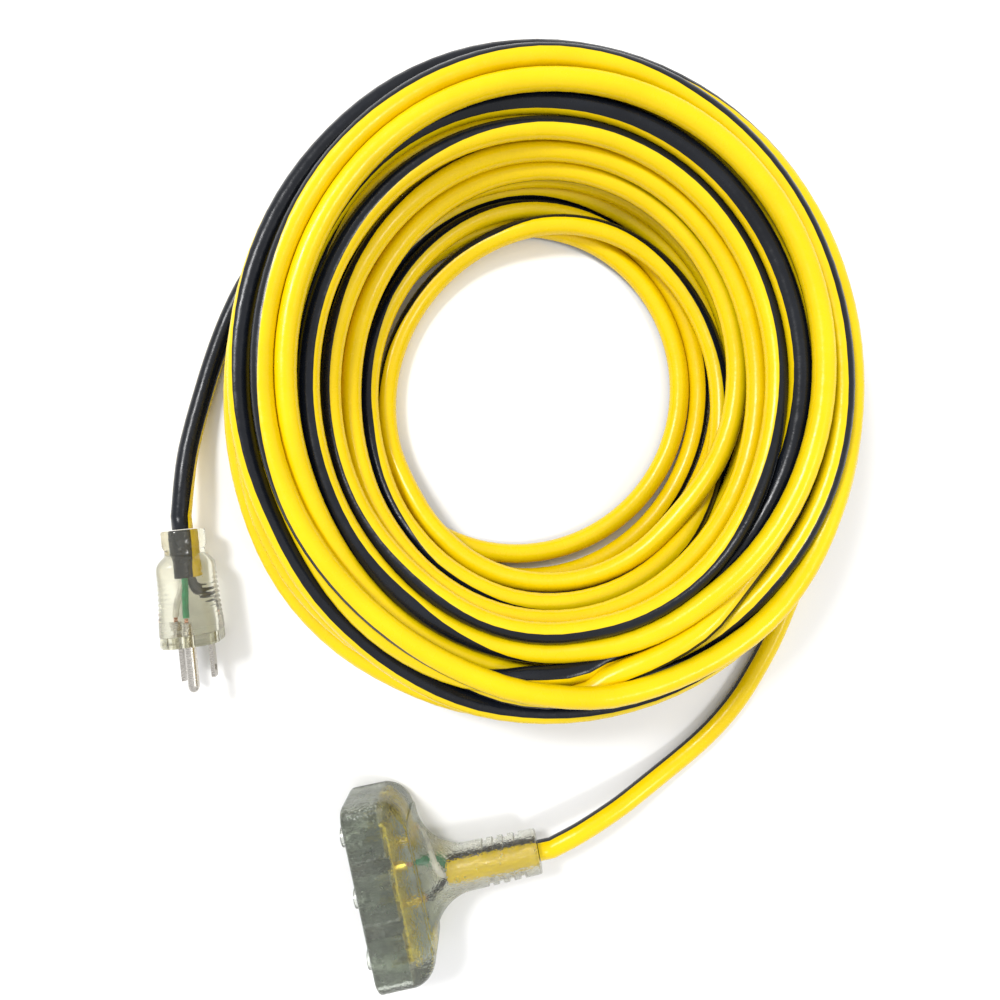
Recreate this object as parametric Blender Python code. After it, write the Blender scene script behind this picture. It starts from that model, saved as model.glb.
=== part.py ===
"""Three-outlet extension cord: clear tap, clear three-pin plug and a 30 m coiled cord.

Metres, +Z up.  The tap lies flat on z = 0, outlets facing -X, neck towards +X, and the
origin is under the middle of its bounding box.  The coil and the plug lie beside it.
"""
import math

import bmesh
import bpy
from mathutils import Matrix, Vector

# ---- fits --------------------------------------------------------------------------------------
GAP = 0.0003                    # left between two pieces that seat on each other
OVERRUN = 0.002                 # how far a cutter runs past the face it cuts

# ---- cord --------------------------------------------------------------------------------------
CORD_DIAMETER = 0.0088
JACKET_WALL = 0.0008
CORE_SHARE = 0.375              # one insulated conductor, of the jacket's bore
CORE_CLEARANCE = 0.0005         # conductor to the inside of the jacket
STRAND_DIAMETER = 0.0016        # bare copper bundle
WIRE_POINT_SPACING = 0.0017

# ---- tap: outer shape --------------------------------------------------------------------------
TAP_LENGTH = 0.0830             # along Y
TAP_HEIGHT = 0.0300
TAP_BAR_DEPTH = 0.0275          # outlet face to the back of the bar
TAP_BODY_REACH = 0.0805         # outlet face to the end of the neck
TAP_WALL = 0.0028
TAP_EDGE_RADIUS = 0.0025        # edge round the outlet face
TAP_CORNER_RADIUS = 0.0055      # corners of the bar, seen along X
TAP_BACK_RADIUS = 0.0120        # back corners of the bar, seen from above
TAP_FILLET_RADIUS = 0.0200      # bar to neck
TAP_FILLET_START = 0.0005       # behind the bar
TAP_BACK_DRAFT = 0.12           # how much of the back rounding the flat sides take up
TAP_END_MARGIN = 0.0004         # outermost window to the end wall
NECK_DIAMETER = 0.0200
NECK_END_DIAMETER = 0.0188
NECK_GROOVES = 4
NECK_GROOVE_WIDTH = 0.0016
NECK_GROOVE_PITCH = 0.0048
NECK_GROOVE_DEPTH = 0.0010
NECK_GROOVE_FLANK = 0.0002
NECK_CHAMFER = 0.0008
NECK_COLLAR = 0.0050            # plain ring after the last groove

# ---- tap: outlets ------------------------------------------------------------------------------
OUTLETS = (-1, 0, 1)
OUTLET_WIDTH = 0.0216
OUTLET_MARGIN = 0.0006          # window to the flat side walls
OUTLET_DEPTH = 0.0160
OUTLET_CORNER_RADIUS = 0.0020
SLOT_SPACING = 0.0127           # hot slot to neutral slot
SLOT_THICKNESS = 0.0021
HOT_SLOT = 0.0070
NEUTRAL_SLOT = 0.0086
EARTH_RISE = 0.0119             # earth hole above the line of the slots
SLOT_LINE_DROP = 0.0052         # slots below the middle of the tap
EARTH_HOLE_WIDTH = 0.0058
EARTH_HOLE_HEIGHT = 0.0062
LIP_DIAMETER = 0.0088
LIP_PROUD = 0.0020
SLOT_LIP_DEPTH = 0.0060         # solid front of an outlet, before the contact pockets
POCKET_WIDTH = 0.0056
EARTH_POCKET_WIDTH = 0.0076
POCKET_MARGIN = 0.0008          # pocket beyond the end of its slot or hole

# ---- tap: contacts and busbars -----------------------------------------------------------------
LEAF_THICKNESS = 0.0006
LEAF_LENGTH = 0.0090
LEAF_MOUTH = 0.0012             # flared part at the leaves' tips
LEAF_MOUTH_SLANT = 0.0002
CONTACT_STANDOFF = 0.0012       # contacts reach this far behind the outlet block
BLADE_CONTACT_HALF_GAP = 0.0008
EARTH_CONTACT_HALF_GAP = 0.0026
CONTACT_HEIGHT = 0.0034
BUS_THICKNESS = 0.0008
BUS_HEIGHT = 0.0038
EARTH_BUS_HEIGHT = 0.0058
BUS_OVERHANG = 0.0025           # bus past the outermost contact
HOT_RISE = 0.0024               # hot contacts above the slot line, neutral ones below
BARREL_DIAMETER = 0.0042
BARREL_BORE = 0.0022
BARREL_LENGTH = 0.0048
BARREL_TO_CORE = 0.0024         # bare copper between the barrel and the insulation
HOT_BARREL_Y = -0.0090
NEUTRAL_BARREL_Y = 0.0165
EARTH_BARREL_Y = 0.0105
JACKET_BEHIND_BAR = 0.0111      # where the jacket is stripped back to, behind the bar
JACKET_HELD = 0.0020            # jacket that stands free in the cavity
CORE_TUCK = (0.0120, 0.0040, 0.0)               # straight part of the cores inside the jacket

# ---- plug --------------------------------------------------------------------------------------
PLUG_LENGTH = 0.0512
PLUG_WIDTH = 0.0248
PLUG_HEIGHT = 0.0264
PLUG_SHOULDER_WIDTH = 0.0228
PLUG_SHOULDER_HEIGHT = 0.0236
PLUG_NECK_DIAMETER = 0.0186
PLUG_WAIST_DIAMETER = 0.0170
PLUG_COLLAR_LENGTH = 0.0085
PLUG_WAIST_LENGTH = 0.0025
PLUG_SHOULDER_LENGTH = 0.0055
PLUG_CORNER_RADIUS = 0.0075
PLUG_EDGE_RADIUS = 0.0008
PLUG_COLLAR_CHAMFER = 0.0005
PLUG_COLLAR_SLOPE = 0.0018
PLUG_BORE_LENGTH = 0.0100       # collar end to the cavity
PLUG_WALL = 0.0022
FACE_THICKNESS = 0.0050
BLADE_DROP = 0.0049             # blades below the plug's axis
BLADE_REACH = 0.0172
BLADE_THICKNESS = 0.0015
HOT_BLADE = 0.0063
NEUTRAL_BLADE = 0.0079
BLADE_HOLE = 0.0031
BLADE_HOLE_FROM_TIP = 0.0043
BLADE_TIP_RADIUS = 0.0012
PIN_DIAMETER = 0.00475
PIN_REACH = 0.0208
PIN_TIP = 0.0030
PLUG_BARREL_SETBACK = 0.0012    # barrel behind the face
PLUG_BARREL_LENGTH = 0.0040
PLUG_BARREL_TO_CORE = 0.0022
BLADE_TAIL = 0.0012             # blade or pin inside its barrel
PLUG_BORE_FLOOR = 0.0004
PLUG_CORE_TUCK = (0.0100, 0.0040, 0.0)
PLUG_POSITION = (-0.0909, 0.1240, 0.0140)       # middle of the front face
PLUG_HEADING = math.radians(-96.4)
PLUG_ROLL = math.radians(-10.0)
PLUG_JACKET_LENGTH = 0.0215     # jacket inside the plug, from the collar's end

# ---- coil --------------------------------------------------------------------------------------
COIL_CENTRE_INNER = (0.0847, 0.2052)
COIL_CENTRE_OUTER = (0.0860, 0.2007)
COIL_TURN = math.radians(-12.2)
COIL_INNER_RADII = (0.0690, 0.0750)             # innermost turn, on the ground
COIL_OUTER_RADII = (0.1275, 0.1395)             # outermost turn
COIL_ROWS = 8
COIL_GROUND_TURNS = 8
COIL_STATIONS = 56
COIL_PORT_LENGTH = 0.0300       # straight start of each tail, joined to the coil's ring
COIL_RIDGE_START = 3.1          # where the flat top begins, in cord diameters from the inside
COIL_RIDGE_END = 5.0
TAIL_POINT_SPACING = 0.0130
CORD_LEAD = 0.0060              # straight out of the tap and out of the plug
TUBE_RESOLUTION = 3
WIRE_RESOLUTION = 2
CORNER_STEPS = 4

# The cord's own route from the tap's neck to the coil, and from the coil to the plug: x, y, and
# the height as a share of the way from lying on the ground to the axis of the tap or the plug.
TAP_TAIL = (
    (0.0620, 0.0040, 0.9623), (0.0800, 0.0095, 0.6792), (0.0925, 0.0140, 0.3868),
    (0.1045, 0.0188, 0.1509), (0.1160, 0.0240, 0.0283), (0.1270, 0.0300, 0),
    (0.1380, 0.0375, 0), (0.1480, 0.0460, 0), (0.1575, 0.0560, 0),
    (0.1665, 0.0665, 0), (0.1745, 0.0775, 0), (0.1822, 0.0890, 0),
    (0.1888, 0.1008, 0), (0.1937, 0.1113, 0),
)
PLUG_TAIL = (
    (-0.0172, 0.2958, 0), (-0.0265, 0.2897, 0), (-0.0365, 0.2805, 0),
    (-0.0450, 0.2700, 0), (-0.0530, 0.2585, 0), (-0.0605, 0.2460, 0.0208),
    (-0.0672, 0.2330, 0.125), (-0.0728, 0.2205, 0.3333), (-0.0772, 0.2085, 0.6042),
    (-0.0805, 0.1965, 0.8333),
)

# ---- places that follow from the sizes ---------------------------------------------------------
FACE_X = LIP_PROUD - (TAP_BODY_REACH + LIP_PROUD) / 2
AXIS_Z = TAP_HEIGHT / 2
JACKET_BORE = CORD_DIAMETER - 2 * JACKET_WALL
CORE_DIAMETER = CORE_SHARE * JACKET_BORE
CORE_PITCH_RADIUS = (JACKET_BORE - CORE_DIAMETER) / 2 - CORE_CLEARANCE
OUTLET_SPACING = (TAP_LENGTH - OUTLET_WIDTH) / 2 - TAP_WALL - TAP_END_MARGIN
OUTLET_HEIGHT = TAP_HEIGHT - 2 * (TAP_WALL + OUTLET_MARGIN)
NECK_END_X = FACE_X + TAP_BODY_REACH
SLOT_Z = AXIS_Z - SLOT_LINE_DROP
EARTH_Z = SLOT_Z + EARTH_RISE
OUTLET_BACK_X = FACE_X + OUTLET_DEPTH
CONTACT_BACK_X = OUTLET_BACK_X + CONTACT_STANDOFF
BUS_X = CONTACT_BACK_X + GAP
BARREL_END_X = BUS_X + BUS_THICKNESS + BARREL_LENGTH
TAP_CORE_END_X = BARREL_END_X + BARREL_TO_CORE
TAP_JACKET_X = FACE_X + TAP_BAR_DEPTH + JACKET_BEHIND_BAR
CAVITY_END_X = TAP_JACKET_X + JACKET_HELD
NECK_BORE = CORD_DIAMETER + 2 * GAP
FACE_BACK = -FACE_THICKNESS
PLUG_BARREL_FRONT = FACE_BACK - PLUG_BARREL_SETBACK
PLUG_BARREL_REAR = PLUG_BARREL_FRONT - PLUG_BARREL_LENGTH
PLUG_CORE_END = PLUG_BARREL_REAR - PLUG_BARREL_TO_CORE
PLUG_JACKET_X = PLUG_JACKET_LENGTH - PLUG_LENGTH
PLUG_BORE_END = PLUG_BORE_LENGTH - PLUG_LENGTH


# ---- materials ---------------------------------------------------------------------------------
def material(name, colour, roughness, metallic=0.0, transmission=0.0):
    """A Principled material of its own for each sub-part."""
    made = bpy.data.materials.new(name)
    made.use_nodes = True
    shader = made.node_tree.nodes["Principled BSDF"]
    shader.inputs["Base Color"].default_value = (*colour, 1.0)
    shader.inputs["Roughness"].default_value = roughness
    shader.inputs["Metallic"].default_value = metallic
    shader.inputs["Transmission Weight"].default_value = transmission
    made.diffuse_color = (*colour, 1.0)
    return made


CLEAR_GREY = ((0.50, 0.55, 0.47), 0.30, 0.0, 0.6)
CLEAR_WARM = ((0.66, 0.63, 0.48), 0.20, 0.0, 0.6)
YELLOW_PVC = ((0.90, 0.70, 0.01), 0.30)
BRASS = ((0.75, 0.60, 0.22), 0.30, 1.0)
NICKEL = ((0.62, 0.60, 0.55), 0.25, 1.0)
COPPER = ((0.80, 0.42, 0.26), 0.35, 1.0)
CORE_COLOURS = {
    "hot": ((0.02, 0.02, 0.025), 0.40),
    "neutral": ((0.82, 0.80, 0.74), 0.40),
    "earth": ((0.03, 0.33, 0.13), 0.40),
}


# ---- building blocks ---------------------------------------------------------------------------
def add_object(name, mesh, look, parent=None):
    """Link a mesh as a named object with its own material, shaded smooth with sharp edges."""
    mesh.shade_smooth()
    mesh.set_sharp_from_angle(angle=math.radians(35))
    mesh.materials.append(material(name, *look))
    made = bpy.data.objects.new(name, mesh)
    bpy.context.collection.objects.link(made)
    made.parent = parent
    return made


def mesh_from(name, bm):
    bmesh.ops.recalc_face_normals(bm, faces=bm.faces)
    mesh = bpy.data.meshes.new(name)
    bm.to_mesh(mesh)
    bm.free()
    return mesh


def loft(name, rings):
    """A closed skin through rings of equal point count, with flat ends."""
    bm = bmesh.new()
    loops = [[bm.verts.new(point) for point in ring] for ring in rings]
    count = len(rings[0])
    for low, high in zip(loops, loops[1:]):
        for i in range(count):
            j = (i + 1) % count
            bm.faces.new((low[i], low[j], high[j], high[i]))
    bm.faces.new(loops[0])
    bm.faces.new(loops[-1])
    return mesh_from(name, bm)


def rounded_ring(x, half_y, half_z, radius, centre_z=0.0, steps=CORNER_STEPS):
    """A rounded rectangle across X."""
    radius = min(radius, half_y, half_z)
    ring = []
    for corner in range(4):
        side_y = 1 if corner in (0, 3) else -1
        side_z = 1 if corner in (0, 1) else -1
        for step in range(steps + 1):
            angle = math.pi / 2 * (corner + step / steps)
            y = side_y * (half_y - radius) + radius * math.cos(angle)
            z = side_z * (half_z - radius) + radius * math.sin(angle)
            ring.append((x, y, centre_z + z))
    return ring


def prism(name, outline, axis, low, high):
    """An outline drawn across one axis and carried along it from low to high."""
    order = {"X": lambda a, b, c: (c, a, b), "Y": lambda a, b, c: (a, c, b), "Z": lambda a, b, c: (a, b, c)}
    place = order[axis]
    return loft(name, [[place(a, b, depth) for a, b in outline] for depth in (low, high)])


def box_mesh(name, low, high):
    outline = [(low[0], low[1]), (high[0], low[1]), (high[0], high[1]), (low[0], high[1])]
    return prism(name, outline, "Z", low[2], high[2])


def cylinder_mesh(name, diameter, x_low, x_high, y=0.0, z=0.0, sides=24):
    outline = []
    for i in range(sides):
        angle = 2 * math.pi * (i + 0.5) / sides
        outline.append((y + diameter / 2 * math.cos(angle), z + diameter / 2 * math.sin(angle)))
    return prism(name, outline, "X", x_low, x_high)


def add_tool(name, mesh, parent=None):
    """A cutter or joined shape that isn't a piece of its own."""
    tool = bpy.data.objects.new(name, mesh)
    bpy.context.collection.objects.link(tool)
    tool.hide_render = True
    tool.display_type = "WIRE"
    tool.parent = parent
    return tool


def boolean(target, tool, operation="DIFFERENCE"):
    change = target.modifiers.new(tool.name, "BOOLEAN")
    change.operation = operation
    change.solver = "EXACT"
    change.object = tool


def smooth_points(route, spacing):
    """Points at an even spacing on a smooth curve through the route (Catmull-Rom)."""
    knots = [Vector(point) for point in route]
    knots = [2 * knots[0] - knots[1]] + knots + [2 * knots[-1] - knots[-2]]
    fine = []
    for a, b, c, d in zip(knots, knots[1:], knots[2:], knots[3:]):
        for step in range(16):
            t = step / 16
            fine.append(0.5 * (2 * b + (c - a) * t + (2 * a - 5 * b + 4 * c - d) * t * t
                               + (3 * b - a - 3 * c + d) * t ** 3))
    fine.append(knots[-2])
    lengths = [0.0]
    for a, b in zip(fine, fine[1:]):
        lengths.append(lengths[-1] + (b - a).length)
    count = max(2, round(lengths[-1] / spacing) + 1)
    points = []
    at = 0
    for i in range(count):
        wanted = lengths[-1] * i / (count - 1)
        while at < len(fine) - 2 and lengths[at + 1] < wanted:
            at += 1
        share = (wanted - lengths[at]) / (lengths[at + 1] - lengths[at])
        points.append(fine[at].lerp(fine[at + 1], min(share, 1.0)))
    return points


def add_tube(name, points, diameter, look, resolution, parent=None):
    """A round cord or wire as a curve object with filled ends."""
    curve = bpy.data.curves.new(name, "CURVE")
    curve.dimensions = "3D"
    curve.bevel_depth = diameter / 2
    curve.bevel_resolution = resolution
    curve.use_fill_caps = True
    spline = curve.splines.new("POLY")
    spline.points.add(len(points) - 1)
    for slot, point in zip(spline.points, points):
        slot.co = (*point, 1.0)
    curve.materials.append(material(name, *look))
    made = bpy.data.objects.new(name, curve)
    bpy.context.collection.objects.link(made)
    made.parent = parent
    return made


def tube_mesh(name, diameter, bore, x_low, x_high, sides=24):
    """A straight pipe along X."""
    bm = bmesh.new()
    rings = []
    for size, x in ((diameter, x_low), (diameter, x_high), (bore, x_high), (bore, x_low)):
        ring = []
        for i in range(sides):
            angle = 2 * math.pi * (i + 0.5) / sides
            ring.append(bm.verts.new((x, size / 2 * math.cos(angle), size / 2 * math.sin(angle))))
        rings.append(ring)
    for near, far in zip(rings, rings[1:] + rings[:1]):
        for i in range(sides):
            j = (i + 1) % sides
            bm.faces.new((near[i], near[j], far[j], far[i]))
    return mesh_from(name, bm)


# ---- tap ---------------------------------------------------------------------------------------
def tap_rings(inset=0.0, x_start=0.0, x_end=None):
    """Rings of the tap's skin from the outlet face to the neck end, or of a skin inset from it."""
    half_length = TAP_LENGTH / 2
    half_height = TAP_HEIGHT / 2
    neck = NECK_DIAMETER / 2
    stations = []
    for step in range(4):
        angle = math.pi / 2 * step / 3
        trim = TAP_EDGE_RADIUS * (1 - math.sin(angle))
        depth = TAP_EDGE_RADIUS * (1 - math.cos(angle))
        stations.append((depth, half_length - trim, half_height - trim, TAP_CORNER_RADIUS))
    fillet_x = TAP_BAR_DEPTH + TAP_FILLET_START
    for step in range(1, 7):
        angle = math.pi / 2 * step / 6
        depth = TAP_BAR_DEPTH - TAP_BACK_RADIUS * (1 - math.sin(angle))
        y = half_length - TAP_BACK_RADIUS * (1 - math.cos(angle))
        z = half_height - TAP_BACK_DRAFT * TAP_BACK_RADIUS * (1 - math.cos(angle))
        stations.append((depth, y, z, TAP_CORNER_RADIUS))
    shoulder_z = stations[-1][2]
    for step in range(8):
        angle = math.pi / 2 * step / 7
        depth = fillet_x + TAP_FILLET_RADIUS * (1 - math.cos(angle))
        y = neck + TAP_FILLET_RADIUS * (1 - math.sin(angle))
        z = neck + (shoulder_z - neck) * (1 - math.sin(angle)) ** 0.8
        corner = TAP_CORNER_RADIUS + (neck - TAP_CORNER_RADIUS) * math.sin(angle)
        stations.append((depth, y, z, corner))
    stations += neck_stations(stations[-1][0])
    if x_end is None:
        x_end = TAP_BODY_REACH
    rings = []
    for x, y, z, corner in trimmed(stations, x_start, x_end):
        rings.append(rounded_ring(FACE_X + x, y - inset, z - inset, max(corner - inset, 0.001), AXIS_Z))
    return rings


def neck_stations(start):
    """The round neck with its ring grooves, from the fillet to the end."""
    stations = []
    first = TAP_BODY_REACH - NECK_COLLAR - NECK_GROOVES * NECK_GROOVE_PITCH
    for groove in range(NECK_GROOVES):
        near = first + groove * NECK_GROOVE_PITCH
        far = near + NECK_GROOVE_WIDTH
        profile = ((near, 0), (near + NECK_GROOVE_FLANK, NECK_GROOVE_DEPTH),
                   (far, NECK_GROOVE_DEPTH), (far + NECK_GROOVE_FLANK, 0))
        for x, depth in profile:
            stations.append((x, neck_radius(x, start) - depth))
    end = neck_radius(TAP_BODY_REACH, start)
    stations.append((TAP_BODY_REACH - NECK_CHAMFER, end))
    stations.append((TAP_BODY_REACH, end - NECK_CHAMFER))
    return [(x, radius, radius, radius) for x, radius in stations]


def neck_radius(x, start):
    share = (x - start) / (TAP_BODY_REACH - start)
    return (NECK_DIAMETER + (NECK_END_DIAMETER - NECK_DIAMETER) * share) / 2


def trimmed(stations, x_start, x_end):
    """The stations between two places, with one worked out at each place."""
    def at(x):
        for near, far in zip(stations, stations[1:]):
            if near[0] <= x <= far[0] and far[0] > near[0]:
                share = (x - near[0]) / (far[0] - near[0])
                return tuple(a + (b - a) * share for a, b in zip(near, far))
        return stations[-1] if x > stations[0][0] else stations[0]
    inside = [station for station in stations if x_start + 1e-4 < station[0] < x_end - 1e-4]
    return [at(x_start)] + inside + [at(x_end)]


def add_tap_housing():
    """The clear moulded T, open at three outlet windows and along the cord bore."""
    housing = add_object("tap_housing", loft("tap_housing", tap_rings()), CLEAR_GREY)
    cavity = tap_rings(TAP_WALL, TAP_WALL, CAVITY_END_X - FACE_X)
    boolean(housing, add_tool("tap_cavity_cut", loft("tap_cavity_cut", cavity)))
    near, far = CAVITY_END_X - OVERRUN, NECK_END_X + OVERRUN
    bore = cylinder_mesh("tap_bore_cut", NECK_BORE, near, far, 0.0, AXIS_Z)
    boolean(housing, add_tool("tap_bore_cut", bore))
    for place in OUTLETS:
        y = place * OUTLET_SPACING
        half_y = OUTLET_WIDTH / 2 + GAP
        half_z = OUTLET_HEIGHT / 2 + GAP
        name = f"tap_window_cut_{place + 2}"
        window = [rounded_ring(x, half_y, half_z, OUTLET_CORNER_RADIUS + GAP, AXIS_Z, 2)
                  for x in (FACE_X - OVERRUN, FACE_X + TAP_WALL + OVERRUN)]
        window = [[(px, py + y, pz) for px, py, pz in ring] for ring in window]
        boolean(housing, add_tool(name, loft(name, window)))


def earth_hole_outline(y, extra=0.0):
    """Flat bottom and round top, as (y, z) points."""
    half = EARTH_HOLE_WIDTH / 2 + extra
    bottom = EARTH_Z - EARTH_HOLE_HEIGHT / 2 - extra
    arc_z = EARTH_Z + EARTH_HOLE_HEIGHT / 2 - EARTH_HOLE_WIDTH / 2
    outline = [(y - half, bottom), (y + half, bottom)]
    for step in range(9):
        angle = math.pi * step / 8
        outline.append((y + half * math.cos(angle), arc_z + half * math.sin(angle)))
    return outline


def add_outlet(number, y):
    """One outlet block: front with two slots and an earth hole, pockets behind for the contacts."""
    rings = []
    for x in (FACE_X, OUTLET_BACK_X):
        ring = rounded_ring(x, OUTLET_WIDTH / 2, OUTLET_HEIGHT / 2, OUTLET_CORNER_RADIUS, AXIS_Z, 2)
        rings.append([(px, py + y, pz) for px, py, pz in ring])
    name = f"outlet_{number}"
    block = add_object(name, loft(name, rings), CLEAR_GREY)
    lip = cylinder_mesh(f"{name}_lip", LIP_DIAMETER, FACE_X - LIP_PROUD, FACE_X + OVERRUN, y, EARTH_Z)
    boolean(block, add_tool(f"{name}_lip", lip), "UNION")
    front = FACE_X - LIP_PROUD - OVERRUN
    pocket_front = FACE_X + SLOT_LIP_DEPTH
    back = OUTLET_BACK_X + OVERRUN
    for pole, side, slot in (("hot", 1, HOT_SLOT), ("neutral", -1, NEUTRAL_SLOT)):
        middle = y + side * SLOT_SPACING / 2
        slot_low = (front, middle - SLOT_THICKNESS / 2, SLOT_Z - slot / 2)
        slot_high = (pocket_front + OVERRUN, middle + SLOT_THICKNESS / 2, SLOT_Z + slot / 2)
        slot_name = f"{name}_{pole}_slot"
        boolean(block, add_tool(slot_name, box_mesh(slot_name, slot_low, slot_high)))
        half = NEUTRAL_SLOT / 2 + POCKET_MARGIN
        pocket_low = (pocket_front, middle - POCKET_WIDTH / 2, SLOT_Z - half)
        pocket_high = (back, middle + POCKET_WIDTH / 2, SLOT_Z + half)
        pocket_name = f"{name}_{pole}_pocket"
        boolean(block, add_tool(pocket_name, box_mesh(pocket_name, pocket_low, pocket_high)))
    hole_name = f"{name}_earth_hole"
    hole = prism(hole_name, earth_hole_outline(y), "X", front, pocket_front + OVERRUN)
    boolean(block, add_tool(hole_name, hole))
    half_z = EARTH_HOLE_HEIGHT / 2 + POCKET_MARGIN
    pocket_low = (pocket_front, y - EARTH_POCKET_WIDTH / 2, EARTH_Z - half_z)
    pocket_high = (back, y + EARTH_POCKET_WIDTH / 2, EARTH_Z + half_z)
    earth_pocket = box_mesh(f"{name}_earth_pocket", pocket_low, pocket_high)
    boolean(block, add_tool(f"{name}_earth_pocket", earth_pocket))


def add_contact(name, y, z, half_gap):
    """A spring clip: two leaves joined at the back, open towards the outlet's face."""
    inner = half_gap
    outer = half_gap + LEAF_THICKNESS
    tip = CONTACT_BACK_X - LEAF_LENGTH
    back = CONTACT_BACK_X
    inside = back - LEAF_THICKNESS
    flare = LEAF_THICKNESS
    near = tip + LEAF_MOUTH
    far = near + LEAF_MOUTH_SLANT
    outline = [(tip, y + inner + flare), (near, y + inner), (inside, y + inner),
               (inside, y - inner), (near, y - inner), (tip, y - inner - flare),
               (tip, y - outer - flare), (far, y - outer), (back, y - outer),
               (back, y + outer), (far, y + outer), (tip, y + outer + flare)]
    mesh = prism(name, outline, "Z", z - CONTACT_HEIGHT / 2, z + CONTACT_HEIGHT / 2)
    add_object(name, mesh, BRASS)


def add_bus(name, z, height, contact_offset, barrel_y):
    """A strip behind one pole's contacts, with the barrel that takes its conductor."""
    reach = OUTLET_SPACING + abs(contact_offset) + BUS_OVERHANG
    low = (BUS_X, -reach, z - height / 2)
    high = (BUS_X + BUS_THICKNESS, reach, z + height / 2)
    strip = add_object(name, box_mesh(name, low, high), BRASS)
    start = BUS_X + BUS_THICKNESS / 2
    barrel = cylinder_mesh(f"{name}_barrel", BARREL_DIAMETER, start, BARREL_END_X, barrel_y, z, 16)
    boolean(strip, add_tool(f"{name}_barrel", barrel), "UNION")
    bottom = BUS_X + 2 * BUS_THICKNESS
    bore = cylinder_mesh(f"{name}_bore", BARREL_BORE, bottom, BARREL_END_X + OVERRUN, barrel_y, z, 16)
    boolean(strip, add_tool(f"{name}_bore", bore))


def core_offset(degrees):
    angle = math.radians(degrees)
    return CORE_PITCH_RADIUS * math.cos(angle), CORE_PITCH_RADIUS * math.sin(angle)


def add_tap_wiring(buses):
    """Jacket end, three conductors and their bare ends, from the neck to the barrels."""
    jacket = tube_mesh("tap_jacket_end", CORD_DIAMETER, JACKET_BORE, TAP_JACKET_X, NECK_END_X)
    jacket_end = add_object("tap_jacket_end", jacket, YELLOW_PVC)
    jacket_end.location.z = AXIS_Z
    # Each bend: share of the way from the barrel back to the jacket, share of the barrel's y, rise.
    bends = {
        "hot": ((0.8278, 0.3444, -0.0014), (0.4967, 0.7111, -0.0023), (0.2318, 0.9556, -0.0028)),
        "neutral": ((0.8609, 0.0474, 0.0026), (0.7086, 0.2947, 0.0048), (0.5364, 0.6421, 0.0036),
                    (0.3642, 0.8895, -0.0015), (0.2053, 0.9895, -0.0060)),
        "earth": ((0.8278, 0.2286, -0.0012), (0.5629, 0.4571, -0.0006), (0.3510, 0.7905, 0.0030),
                  (0.1921, 0.9714, 0.0060)),
    }
    span = TAP_JACKET_X - TAP_CORE_END_X
    angles = {"hot": 210, "neutral": 90, "earth": -30}
    for pole, (y_end, z_end) in buses.items():
        y, z = core_offset(angles[pole])
        route = [(TAP_JACKET_X + depth, y, AXIS_Z + z) for depth in CORE_TUCK]
        for back, side, rise in bends[pole]:
            route.append((TAP_CORE_END_X + back * span, side * y_end, AXIS_Z + rise))
        route.append((TAP_CORE_END_X, y_end, z_end))
        points = smooth_points(route, WIRE_POINT_SPACING)
        add_tube(f"tap_{pole}_conductor", points, CORE_DIAMETER, CORE_COLOURS[pole], WIRE_RESOLUTION)
        strand = [(TAP_CORE_END_X - GAP, y_end, z_end), (BUS_X + 2 * BUS_THICKNESS + GAP, y_end, z_end)]
        add_tube(f"tap_{pole}_strands", strand, STRAND_DIAMETER, COPPER, WIRE_RESOLUTION)


def add_tap():
    add_tap_housing()
    hot_z = SLOT_Z + HOT_RISE
    neutral_z = SLOT_Z - HOT_RISE
    for place in OUTLETS:
        number = place + 2
        y = place * OUTLET_SPACING
        add_outlet(number, y)
        add_contact(f"hot_contact_{number}", y + SLOT_SPACING / 2, hot_z, BLADE_CONTACT_HALF_GAP)
        add_contact(f"neutral_contact_{number}", y - SLOT_SPACING / 2, neutral_z, BLADE_CONTACT_HALF_GAP)
        add_contact(f"earth_contact_{number}", y, EARTH_Z, EARTH_CONTACT_HALF_GAP)
    add_bus("hot_bus", hot_z, BUS_HEIGHT, SLOT_SPACING / 2, HOT_BARREL_Y)
    add_bus("neutral_bus", neutral_z, BUS_HEIGHT, SLOT_SPACING / 2, NEUTRAL_BARREL_Y)
    add_bus("earth_bus", EARTH_Z, EARTH_BUS_HEIGHT, 0.0, EARTH_BARREL_Y)
    add_tap_wiring({
        "hot": (HOT_BARREL_Y, hot_z),
        "neutral": (NEUTRAL_BARREL_Y, neutral_z),
        "earth": (EARTH_BARREL_Y, EARTH_Z),
    })


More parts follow.
